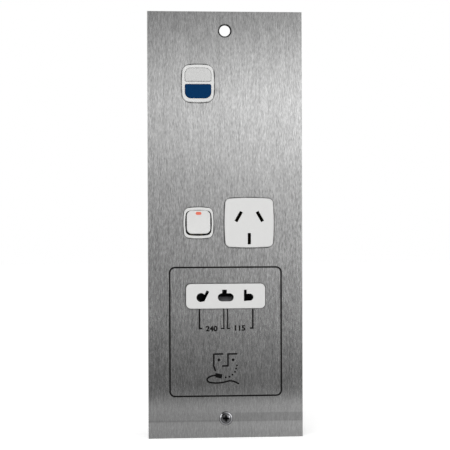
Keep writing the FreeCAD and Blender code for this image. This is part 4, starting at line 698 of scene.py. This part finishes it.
@dataclass(frozen=True)
class Paint(Finish):
    """Filler or ink rubbed into a groove, slightly uneven."""

    cells: float = 2600
    unevenness: float = 0.5
    dulling: float = 0.25
    gloss: float = 0.05
    relief: tuple[float, float] = (0.15, 0.05)

    def draw(self, shader: Shader) -> None:
        """Lay a fine unevenness over the colour.

        Args:
            shader: The shader to write.
        """
        uneven = shader.noise(self.cells, detail=3)
        shader.surface(
            Base_Color=shader.shade(self.colour, 1.0 + uneven * self.unevenness),
            Roughness=self.roughness + uneven * self.dulling,
            Specular_IOR_Level=self.gloss,
            Normal=shader.relief(uneven, *self.relief),
        )


BREAKER_PLACE = (-17.4, -34.0)
SWITCH_PLACE = (-17.4, -123.65)
OUTLET_PLACE = (15.36, -123.65)
SHAVER_PLACE = (0, -170.95)
SCREW_PLACE = (0, -250)
# Outlines of the holes; the sheet gets a painted shadow line round each.
CUT_OUTS = (
    CutOut(*BREAKER_PLACE, 21.3, 24.7, 4.55, 0.9, 0.75),
    CutOut(*SWITCH_PLACE, 19.7, 20.4, 3.55, 0.8),
    CutOut(*OUTLET_PLACE, 32.22, 32.42, 3.35, 0.7, 0.7),
    CutOut(*SHAVER_PLACE, 51.5, 16.3, 3.35),
    CutOut(0, 0, 8.3, 8.3, 4.15),
    CutOut(*SCREW_PLACE, 8.3, 8.3, 4.15),
)
SATIN = 0.36
WHITE = linear(218, 218, 217)
BRASS_COLOUR = (0.76, 0.58, 0.26, 1)

STEEL = BrushedSheet("brushed_stainless", "stainless", (0.63, 0.63, 0.628, 1), 0.175,
                     cut_outs=CUT_OUTS)
SCREW = PlainMetal("polished_screw", "bright_screw", (0.28, 0.28, 0.29, 1), 0.12,
                   recess=SCREW_PLACE, painted_shade=PaintedShade(
                       -2.3, SCREW_PLACE, (2.1, 2.1), (0.62, 0.8), plate=(80, 90), end=0.5))
ZINC = PlainMetal("zinc_plate", "zinc", (0.62, 0.63, 0.62, 1), 0.34)
BRASS = PlainMetal("rolled_brass", "brass", BRASS_COLOUR, 0.28)
# Painted shade on the contacts deep in the slots.
SHADED_BRASS = PlainMetal("shaded_brass", "brass", BRASS_COLOUR, 0.4,
                        painted_shade=PaintedShade(-2.2, end=21.5, depth=0.9))
SPRING = PlainMetal("spring_wire", "spring_steel", (0.5, 0.5, 0.5, 1), 0.3)
NYLON = Moulded("natural_nylon", "nylon", (0.72, 0.7, 0.62, 1), 0.5)
# The white, grey and blue mouldings below carry painted shade in their recesses and behind the
# plate.
BREAKER_WHITE = Moulded("breaker_white", "white_plastic", WHITE, SATIN,
                        painted_shade=PaintedShade(-2.2, (-17.4, -33.8), (8.75, 9.95), (0, 0.3)))
SWITCH_WHITE = Moulded("switch_white", "white_plastic", WHITE, SATIN,
                       painted_shade=PaintedShade(-2.2, (-17.4, -122.9), (8.7, 7.6)))
OUTLET_WHITE = Moulded("outlet_white", "white_plastic", WHITE, SATIN,
                       painted_shade=PaintedShade(-2.8, OUTLET_PLACE, (13, 13)))
SHAVER_WHITE = Moulded("shaver_white", "white_plastic", WHITE, SATIN,
                       painted_shade=PaintedShade(-2.6, SHAVER_PLACE, (23, 6.6)))
ROCKER_WHITE = Moulded("rocker_white", "white_plastic", linear(217, 217, 216), SATIN,
                       painted_shade=PaintedShade(-2.1))
PALE_GREY = Moulded("pale_grey_moulding", "pale_grey_plastic", linear(201, 201, 200), SATIN,
                    painted_shade=PaintedShade(-2.5))
BLUE = Moulded("blue_moulding", "blue_plastic", linear(0, 48, 90), 0.4,
               clouding=0.3, gloss=0.06, painted_shade=PaintedShade(-2.5))
RED = Moulded("printed_red", "red_mark", linear(226, 112, 88), 0.4, clouding=0.1)
BLACK = Moulded("black_moulding", "black_plastic", (0.02, 0.02, 0.021, 1), 0.5,
                grain=0.15, clouding=0.3)
DARK_GREY = Moulded("dark_grey_moulding", "dark_grey_plastic", (0.07, 0.07, 0.075, 1), 0.5,
                    grain=0.15, clouding=0.2)
GREY_SHUTTER = Moulded("shutter_grey", "dark_grey_plastic", linear(120, 120, 122), 0.45)
BOARD = CircuitBoard("green_board", "circuit_board", (0.02, 0.14, 0.05, 1), 0.35)
FERRITE = Moulded("pressed_ferrite", "ferrite", (0.05, 0.05, 0.052, 1), 0.6,
                  grain=0.3, clouding=0.3)
CERAMIC = Moulded("cutout_body", "cream_ceramic", (0.62, 0.6, 0.55, 1), 0.5, grain=0.1)
IRON = Stacked("laminated_iron", "lamination", (0.2, 0.2, 0.21, 1), 0.4)
COIL_TURNS = Wound("coil_turns", "copper", (0.72, 0.3, 0.14, 1), 0.3)
BLACK_FILL = Paint("groove_fill", "black_plastic", (0.006, 0.006, 0.006, 1), 0.7)


def dress(finish: Finish, *nodes: str) -> None:
    """Give CAD nodes their finish.

    Args:
        finish: The finish.
        nodes: The nodes' names.
    """
    for name in nodes:
        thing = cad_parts[name]
        thing.data.materials.clear()
        thing.data.materials.append(finish.material())
        log.info("dressed %s in %s", name, finish.name)


def piece(name: str, mesh: bmesh.types.BMesh, finish: Finish, body: str) -> bpy.types.Object:
    """Turn a mesh into a piece that rides on a body.

    Args:
        name: The piece's name.
        mesh: Its shape in place, in metres; it is freed.
        finish: Its finish.
        body: The body that it rides on.

    Returns:
        The piece.
    """
    bmesh.ops.remove_doubles(mesh, verts=mesh.verts, dist=MERGE_DISTANCE)
    bmesh.ops.recalc_face_normals(mesh, faces=mesh.faces)
    data = bpy.data.meshes.new(name)
    mesh.to_mesh(data)
    mesh.free()
    thing = bpy.data.objects.new(name, data)
    bpy.context.scene.collection.objects.link(thing)
    data.materials.append(finish.material())
    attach(thing, body)
    log.info("made %s on %s", name, body)
    return thing


def slab(mesh: bmesh.types.BMesh, outline: list[tuple[float, float]], low: float,
         high: float) -> None:
    """Add a flat solid with an upright outline.

    Args:
        mesh: The mesh to add it to.
        outline: Its corners as x and z, in metres.
        low: The y of its front.
        high: The y of its back.
    """
    front = mesh.faces.new([mesh.verts.new((x, low, z)) for x, z in outline])
    made = bmesh.ops.extrude_face_region(mesh, geom=[front])["geom"]
    moved = [part for part in made if isinstance(part, bmesh.types.BMVert)]
    bmesh.ops.translate(mesh, verts=moved, vec=(0, high - low, 0))


def stand(mesh: bmesh.types.BMesh, verts: list[bmesh.types.BMVert]) -> None:
    """Stand a flat drawing up, facing the room."""
    bmesh.ops.rotate(mesh, verts=verts, cent=ORIGIN, matrix=UPRIGHT)


@dataclass(frozen=True)
class Spring:
    """A compression spring of round wire, in millimetres."""

    node: str
    joint: str
    foot: tuple[float, float, float]
    head: tuple[float, float, float]
    radius: float
    travel: float
    wire: float = 0.5
    turns: int = 4
    sides: int = 10
    steps: int = 20

    def build(self) -> None:
        """Wind the wire from the fixed foot to the head, in place of the plain one."""
        foot = Vector(self.foot) * MM
        run = Vector(self.head) * MM - foot
        mesh = bmesh.new()
        ring = bmesh.ops.create_circle(mesh, segments=self.sides, radius=self.wire / 2 * MM)
        stand(mesh, ring["verts"])
        bmesh.ops.translate(mesh, verts=ring["verts"],
                            vec=(self.radius * MM, 0, self.wire / 2 * MM))
        steps = self.steps * self.turns
        rise = (run.length - self.wire * MM) / steps
        bmesh.ops.spin(mesh, geom=list(mesh.verts) + list(mesh.edges), cent=ORIGIN,
                       axis=(0, 0, 1), dvec=(0, 0, rise), angle=math.tau * self.turns,
                       steps=steps)
        bmesh.ops.holes_fill(mesh, edges=mesh.edges, sides=self.sides)
        bmesh.ops.rotate(mesh, verts=mesh.verts, cent=ORIGIN,
                         matrix=run.to_track_quat("Z", "Y").to_matrix())
        bmesh.ops.translate(mesh, verts=mesh.verts, vec=foot)
        wound = piece(self.node + "_wire", mesh, SPRING, "plate")
        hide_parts(self.node)
        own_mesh(wound)


@dataclass
class Engraving:
    """Black-filled lines, figures and the shaver symbol on the plate's front, in millimetres.

    skin is how far the filling stands out of the steel, and overlap how far the border's filling
    laps over each side of its groove. A bracket is its place across, the side that its foot
    points to and its line's width. A figure is its text, its middle and its width. A dot is its
    place and its radius. The symbol's points are measured from centre_height.
    """

    front: float = -1.2
    fill_depth: float = 0.2
    skin: float = 0.02
    overlap: float = 0.14
    border_width: float = 72.1
    border_height: float = 83.1
    border_radius: float = 3.8
    border_segments: int = 8
    border_middle: float = -193.9
    border_line: float = 0.75
    bracket_top: float = -179.1
    bracket_length: float = 13.2
    bracket_stub: float = 1.9
    brackets: tuple = ((-16.95, 1, 1.05), (-1.2, -1, 0.82), (1.2, 1, 0.82), (17.6, -1, 1.05))
    figure_height: float = 3.6
    figure_curve: int = 4
    figure_extrusion: float = 0.01
    boldness: float = 0.042
    figures: tuple = (("240", -9.1, -191.9, 7.7), ("115", 9.3, -191.7, 6.9))
    stroke: float = 1.05
    dot_depth: float = 0.036
    dot_sides: int = 24
    centre_height: float = -125.0
    lines: tuple = (
        ((-1.97, -83.34), (-7.77, -83.39), (-7.79, -91.03), (-6.79, -93.91)),
        ((7.01, -83.34), (1.44, -83.39), (1.41, -91.03), (-2.0, -91.11)),
        ((-6.62, -97.02), (-9.19, -97.46), (-11.1, -98.3), (-12.1, -99.35), (-12.15, -100.25),
         (-11.5, -101.15), (-10.1, -101.74), (-6.81, -102.09), (-4.0, -101.95), (-1.13, -101.58),
         (0.8, -101.05), (2.46, -100.73), (4.0, -100.85), (5.45, -101.25), (6.9, -101.9),
         (8.14, -102.61)),
    )
    dots: tuple = (
        (-4.49, -87.13, 0.9), (4.72, -87.19, 0.9), (7.16, -90.93, 0.62), (6.68, -92.9, 0.62),
        (5.89, -94.98, 0.62), (4.27, -96.81, 0.62), (2.35, -98.1, 0.62), (-0.11, -98.48, 0.62),
    )
    shaver: tuple = ((-6.65, -95.6), (-2.1, -96.5), (-2.85, -99.2), (-6.85, -98.35))

    def border(self) -> None:
        """Fill the rounded groove round the shaver outlet."""
        mesh = bmesh.new()
        ring = bmesh.ops.create_grid(mesh, x_segments=1, y_segments=1, size=0.5)["verts"]
        bmesh.ops.scale(mesh, verts=ring, vec=(self.border_width * MM, self.border_height * MM, 1))
        bmesh.ops.bevel(mesh, geom=ring, offset=self.border_radius * MM, offset_type="OFFSET",
                        segments=self.border_segments, profile=0.5, affect="VERTICES",
                        material=-1)
        line = self.border_line + self.overlap * 2
        bmesh.ops.scale(mesh, verts=mesh.verts, vec=(
            (self.border_width + line) / self.border_width,
            (self.border_height + line) / self.border_height, 1))
        inset = bmesh.ops.inset_region(mesh, faces=mesh.faces, thickness=line * MM,
                                       use_even_offset=True, use_boundary=True)
        kept = set(inset["faces"])
        bmesh.ops.delete(mesh, geom=[face for face in mesh.faces if face not in kept],
                         context="FACES")
        stand(mesh, mesh.verts)
        bmesh.ops.translate(mesh, verts=mesh.verts, vec=(
            0, (self.front - self.skin) * MM, self.border_middle * MM))
        made = bmesh.ops.extrude_face_region(mesh, geom=list(mesh.faces), use_keep_orig=True)
        moved = [part for part in made["geom"] if isinstance(part, bmesh.types.BMVert)]
        bmesh.ops.translate(mesh, verts=moved, vec=(0, self.fill_depth * MM, 0))
        piece("border_line", mesh, BLACK_FILL, "plate")

    def bracket_lines(self) -> None:
        """Fill the four thin grooves that lead from the outlet to the figures."""
        mesh = bmesh.new()
        face = self.front - self.skin
        top, low = self.bracket_top, self.bracket_top - self.bracket_length
        for across, side, line in self.brackets:
            near, far = across - line * side / 2, across + line * side / 2
            end, foot = across + self.bracket_stub * side, low + line
            outline = ((near, top), (near, low), (end, low), (end, foot), (far, foot), (far, top))
            slab(mesh, [(x * MM, z * MM) for x, z in outline],
                 face * MM, (face + self.fill_depth) * MM)
        piece("bracket_lines", mesh, BLACK_FILL, "plate")

    def figure(self, text: str, across: float, up: float, width: float) -> None:
        """Print one plain figure on the plate.

        Args:
            text: The figure.
            across: The x of its middle.
            up: The z of its middle.
            width: Its width.
        """
        curve = bpy.data.curves.new("figure", "FONT")
        curve.body, curve.offset = text, self.boldness
        curve.extrude, curve.resolution_u = self.figure_extrusion, self.figure_curve
        source = bpy.data.objects.new("figure", curve)
        bpy.context.scene.collection.objects.link(source)
        bpy.context.view_layer.update()
        mesh = bmesh.new()
        mesh.from_mesh(source.to_mesh())
        bpy.data.objects.remove(source)
        stand(mesh, mesh.verts)
        low = [min(vert.co[axis] for vert in mesh.verts) for axis in range(3)]
        high = [max(vert.co[axis] for vert in mesh.verts) for axis in range(3)]
        centring = [-(a + b) / 2 for a, b in zip(low, high)]
        sizes = (width, self.skin * 2, self.figure_height)
        bmesh.ops.translate(mesh, verts=mesh.verts, vec=centring)
        bmesh.ops.scale(mesh, verts=mesh.verts, vec=[
            size * MM / (b - a) for size, a, b in zip(sizes, low, high)])
        bmesh.ops.translate(mesh, verts=mesh.verts, vec=(across * MM, self.front * MM, up * MM))
        piece("figure_" + text, mesh, BLACK_FILL, "plate")

    def _flat(self, mesh: bmesh.types.BMesh, corners: list | tuple) -> None:
        """Add one flat solid of the symbol, from its corners across and up."""
        slab(mesh, [(x * MM, (up + self.centre_height) * MM) for x, up in corners],
             (self.front - self.skin) * MM, (self.front + self.skin) * MM)

    def _stroke(self, mesh: bmesh.types.BMesh, start: tuple, end: tuple) -> None:
        """Add one straight stroke of the symbol.

        Args:
            mesh: The symbol's mesh.
            start: Where the stroke starts.
            end: Where it ends.
        """
        first, last = Vector(start), Vector(end)
        run = (last - first).normalized() * self.stroke / 2
        side = Vector((-run.y, run.x))
        self._flat(mesh, [first + side, first - side, last - side, last + side])

    def _dot(self, mesh: bmesh.types.BMesh, across: float, up: float, radius: float) -> None:
        """Add one round dot of the symbol, a hair lower than the strokes.

        Args:
            mesh: The symbol's mesh.
            across: The dot's place across.
            up: Its place up.
            radius: Its radius.
        """
        made = bmesh.ops.create_cone(mesh, cap_ends=True, segments=self.dot_sides,
                                     radius1=radius * MM, radius2=radius * MM,
                                     depth=self.dot_depth * MM)["verts"]
        stand(mesh, made)
        bmesh.ops.translate(mesh, verts=made, vec=(
            across * MM, self.front * MM, (up + self.centre_height) * MM))

    def symbol(self) -> None:
        """Print the common symbol for shavers: strokes, dots and a small shaver with its lead."""
        mesh = bmesh.new()
        for line in self.lines:
            for start, end in zip(line, line[1:]):
                self._stroke(mesh, start, end)
            for across, up in line:
                self._dot(mesh, across, up, self.stroke / 2)
        for across, up, radius in self.dots:
            self._dot(mesh, across, up, radius)
        self._flat(mesh, self.shaver)
        piece("shaver_symbol", mesh, BLACK_FILL, "plate")

    def build(self) -> None:
        """Make every line, figure and the symbol."""
        self.border()
        self.bracket_lines()
        for text, across, up, width in self.figures:
            self.figure(text, across, up, width)
        self.symbol()


@dataclass
class Plate:
    """The steel sheet, its screw and the plastic frame behind it."""

    engraving: Engraving = field(default_factory=Engraving)

    def build(self) -> None:
        """Dress the sheet and its fixings."""
        dress(STEEL, "faceplate")
        dress(SCREW, "fixing_screw")
        dress(NYLON, "screw_retainer")
        dress(BLACK, "carrier_frame")
        dress(ZINC, "carrier_nuts", "module_screws", "earth_nut")
        dress(BRASS, "earth_tag")
        self.engraving.build()


@dataclass
class Breaker:
    """The leakage breaker with its reset and test buttons."""

    springs: tuple[Spring, ...] = (
        Spring("reset_spring", "reset_press", (-17.4, 10.0, -28.35), (-17.4, 2.3, -28.35), 2.2, 2),
        Spring("test_spring", "test_press", (-17.4, 10.0, -39.0), (-17.4, 2.3, -39.0), 2.2, 2),
    )

    def build(self) -> None:
        """Dress the breaker from its bezel to its terminals."""
        dress(BREAKER_WHITE, "rcd_bezel")
        dress(PALE_GREY, "reset_button")
        dress(BLUE, "test_button")
        for spring in self.springs:
            spring.build()
        dress(DARK_GREY, "rcd_housing")
        dress(BOARD, "rcd_board")
        dress(FERRITE, "sensing_toroid")
        dress(NYLON, "trip_bobbin", "contact_bridge")
        dress(COIL_TURNS, "trip_winding")
        dress(ZINC, "trip_plunger", "rcd_terminal_screws")
        dress(BRASS, "contact_fingers", "rcd_terminals")


@dataclass
class Switch:
    """The rocker switch with its sprung plunger and seesaw contact."""

    def build(self) -> None:
        """Dress the switch from its bezel to its terminals."""
        dress(SWITCH_WHITE, "switch_bezel")
        dress(ROCKER_WHITE, "rocker")
        dress(RED, "rocker_marker")
        dress(NYLON, "switch_plunger")
        dress(SPRING, "plunger_spring")
        dress(BRASS, "common_terminal", "line_terminal")
        dress(SHADED_BRASS, "seesaw_contact")
        dress(DARK_GREY, "switch_housing")
        dress(ZINC, "switch_terminal_screws")


@dataclass
class Outlet:
    """The outlet with three flat slots."""

    def build(self) -> None:
        """Dress the outlet from its front to its terminals."""
        dress(OUTLET_WHITE, "socket_front")
        dress(DARK_GREY, "socket_housing")
        dress(SHADED_BRASS, "active_contact", "neutral_contact", "earth_contact")
        dress(ZINC, "socket_terminal_screws")


@dataclass
class ShaverOutlet:
    """The shaver outlet with its shutter, transformer and case."""

    spring: Spring = Spring(
        "shutter_spring", "shutter_slide", (0, 4.05, -182.7), (0, 4.05, -176.7), 1.55, 3)

    def build(self) -> None:
        """Dress the outlet, the transformer and the case."""
        dress(SHAVER_WHITE, "shaver_insert")
        dress(BLACK, "shaver_socket_base")
        dress(ZINC, "base_screws", "housing_nuts", "cover_screws", "core_screws",
              "mains_terminal_screws")
        dress(SHADED_BRASS, "contact_240", "contact_common", "contact_115")
        dress(BRASS, "mains_terminals")
        dress(GREY_SHUTTER, "shutter")
        self.spring.build()
        dress(DARK_GREY, "shaver_housing", "housing_cover")
        dress(IRON, "transformer_core")
        dress(NYLON, "transformer_bobbin")
        dress(COIL_TURNS, "primary_winding", "secondary_winding")
        dress(CERAMIC, "thermal_cutout")


@dataclass(frozen=True)
class Panel:
    """A graded reflector that only shiny surfaces see, in metres and radians.

    shades are places along its axis, each with its shade. sides are two places across, then the
    strength of the light at each.
    """

    name: str
    size: tuple[float, float]
    location: tuple[float, float, float]
    turn: tuple[float, float, float]
    axis: Axis
    shades: tuple[tuple[float, float], ...]
    sides: tuple[float, ...] = (-1, 1, 1, 1)

    def build(self) -> None:
        """Stand the panel in its place and give it its light."""
        bpy.ops.mesh.primitive_plane_add(size=1, location=self.location, rotation=self.turn)
        made = bpy.context.object
        made.name = self.name
        made.scale = (*self.size, 1)
        bpy.ops.object.transform_apply(location=True, rotation=True, scale=True)
        material, shader = blank(self.name)
        low, reach = self.shades[0][0], self.shades[-1][0] - self.shades[0][0]
        stops = [((at - low) / reach, (shade, shade, shade, 1)) for at, shade in self.shades]
        ramp = shader.node("ShaderNodeValToRGB", {"stops": stops},
                           {0: (shader.along(self.axis) - low) / reach})
        side = shader.along(Axis.ACROSS).span(*self.sides)
        glow = shader.node("ShaderNodeEmission", None, {"Color": shader.shade(ramp, side)})
        shader.node("ShaderNodeOutputMaterial", None, {"Surface": glow})
        made.data.materials.append(material)
        made.visible_camera = made.visible_diffuse = made.visible_shadow = False
        made.visible_transmission = False


@dataclass(frozen=True)
class Lamp:
    """A soft square lamp that points at the plate and doesn't mirror in it, in metres."""

    name: str
    power: float
    location: tuple[float, float, float]
    target: tuple[float, float, float] = (0, 0, -0.125)
    size: float = 0.9

    def build(self) -> None:
        """Hang the lamp and aim it."""
        data = bpy.data.lights.new(self.name, "AREA")
        data.energy, data.size = self.power, self.size
        made = bpy.data.objects.new(self.name, data)
        bpy.context.scene.collection.objects.link(made)
        made.location = self.location
        aim = Vector(self.target) - Vector(self.location)
        made.rotation_euler = aim.to_track_quat("-Z", "Y").to_euler()
        made.visible_glossy = False


SCREEN_SHADES = (
    (-0.26, 0.28), (-0.21, 0.36), (-0.17, 0.43), (-0.106, 0.5), (-0.075, 0.56), (-0.04, 0.72),
    (-0.005, 0.79), (0.03, 0.91), (0.065, 0.82), (0.1, 0.66), (0.125, 0.55), (0.145, 0.43),
    (0.16, 0.34), (0.3, 0.3), (1.04, 0.28),
)
APRON_SHADES = (
    (-1.04, 0.26), (-0.9, 0.25), (-0.59, 0.225), (-0.37, 0.18), (-0.28, 0.155), (-0.21, 0.17),
    (-0.19, 0.31), (-0.15, 0.44), (-0.11, 0.41), (-0.08, 0.38), (-0.055, 0.46), (-0.028, 0.41),
    (-0.002, 0.4),
)
STRIP_SHADES = ((-0.27, 5.5), (-0.02, 5.5), (0.07, 0.0))


@dataclass
class Studio:
    """Floor, lights, reflectors and camera, in metres and degrees.

    The screen stands behind the camera, the apron lies on the floor before the plate, and the
    strips stand beside the camera.
    """

    floor_size: float = 6.0
    floor_tone: float = 0.86
    floor_grain: float = 0.04
    floor_cells: float = 40
    floor_roughness: float = 0.7
    floor_gloss: float = 0.1
    floor_glow: float = 0.45
    eye: tuple = (-0.0727, -0.8982, -0.1161)
    turn: tuple = (4.619, -0.572, -0.188)
    lens: float = 111.61
    sensor: float = 36.0
    ambient: float = 0.62
    panels: tuple[Panel, ...] = (
        Panel("graded_screen", (1.5, 1.3), (0, -1.05, 0.39), (math.pi / 2, 0, 0),
              Axis.UP, SCREEN_SHADES, (-0.55, 0.55, 0.22, 1.62)),
        Panel("graded_apron", (1.5, 1.038), (0, -0.521, FLOOR + 0.1 * MM), (0, 0, 0),
              Axis.INWARD, APRON_SHADES, (-0.03, 0.12, 0.88, 1.25)),
        Panel("left_strip", (0.16, 0.34), (-0.74, -0.88, -0.09), (math.pi / 2, 0, 0.74),
              Axis.UP, STRIP_SHADES),
        Panel("right_strip", (0.2, 0.34), (0.62, -0.88, -0.09), (math.pi / 2, 0, -0.62),
              Axis.UP, STRIP_SHADES),
    )
    lamps: tuple[Lamp, ...] = (
        Lamp("key", 9.0, (-0.5, -1.3, 0.75)),
        Lamp("fill", 4.0, (1.0, -1.2, 0.1)),
    )

    @staticmethod
    def _shown(shader: Shader) -> Signal:
        """Find the rays that show the background: camera, mirror and glass ones.

        Args:
            shader: The world's shader.

        Returns:
            1 for those rays, else 0.
        """
        kinds = ("Is Camera Ray", "Is Glossy Ray", "Is Transmission Ray")
        rays = [shader.node("ShaderNodeLightPath", output=kind) for kind in kinds]
        return shader.node("ShaderNodeClamp", None, {"Value": rays[0] + rays[1] + rays[2]})

    def world(self) -> None:
        """Light the object evenly, and show plain white behind it."""
        made = bpy.data.worlds.new("room")
        bpy.context.scene.world = made
        made.use_nodes = True
        shader = Shader(made.node_tree)
        background = shader.node("ShaderNodeBackground", None, {
            "Color": (1, 1, 1, 1),
            "Strength": self._shown(shader) * (1 - self.ambient) + self.ambient,
        })
        shader.node("ShaderNodeOutputWorld", None, {"Surface": background})

    def floor(self) -> None:
        """Lay the pale floor under the object."""
        bpy.ops.mesh.primitive_plane_add(size=self.floor_size, location=(0, 0, FLOOR))
        made = bpy.context.object
        made.name = "floor"
        material, shader = blank("pale_floor")
        seen = shader.node("ShaderNodeLightPath", output="Is Camera Ray")
        shader.surface(
            Base_Color=shader.shade((self.floor_tone, self.floor_tone, self.floor_tone, 1),
                                    1.0 + shader.noise(self.floor_cells) * self.floor_grain),
            Roughness=self.floor_roughness,
            Emission_Color=shader.shade((1, 1, 1, 1), seen * self.floor_glow),
            Emission_Strength=1.0,
            Specular_IOR_Level=self.floor_gloss,
        )
        made.data.materials.append(material)

    def camera(self) -> None:
        """Place the camera at the photograph's angle."""
        yaw, pitch, roll = (math.radians(value) for value in self.turn)
        data = bpy.data.cameras.new("camera")
        data.sensor_width, data.lens = self.sensor, self.lens
        made = bpy.data.objects.new("camera", data)
        bpy.context.scene.collection.objects.link(made)
        made.matrix_world = (
            Matrix.Translation(self.eye)
            @ Matrix.Rotation(-yaw, 4, "Z")
            @ Matrix.Rotation(math.pi / 2 + pitch, 4, "X")
            @ Matrix.Rotation(roll, 4, "Z")
        )
        bpy.context.scene.camera = made

    def build(self) -> None:
        """Set up the whole studio."""
        bpy.context.scene.view_settings.view_transform = "Standard"
        self.world()
        self.floor()
        for fitting in (*self.panels, *self.lamps):
            fitting.build()
        self.camera()


def main() -> None:
    """Build every sub-assembly and the studio."""
    logging.basicConfig(level=logging.INFO, format="%(name)s: %(message)s")
    for part in (Plate(), Breaker(), Switch(), Outlet(), ShaverOutlet(), Studio()):
        part.build()
        log.info("%s is done", type(part).__name__)


if __name__ == "__main__":
    main()
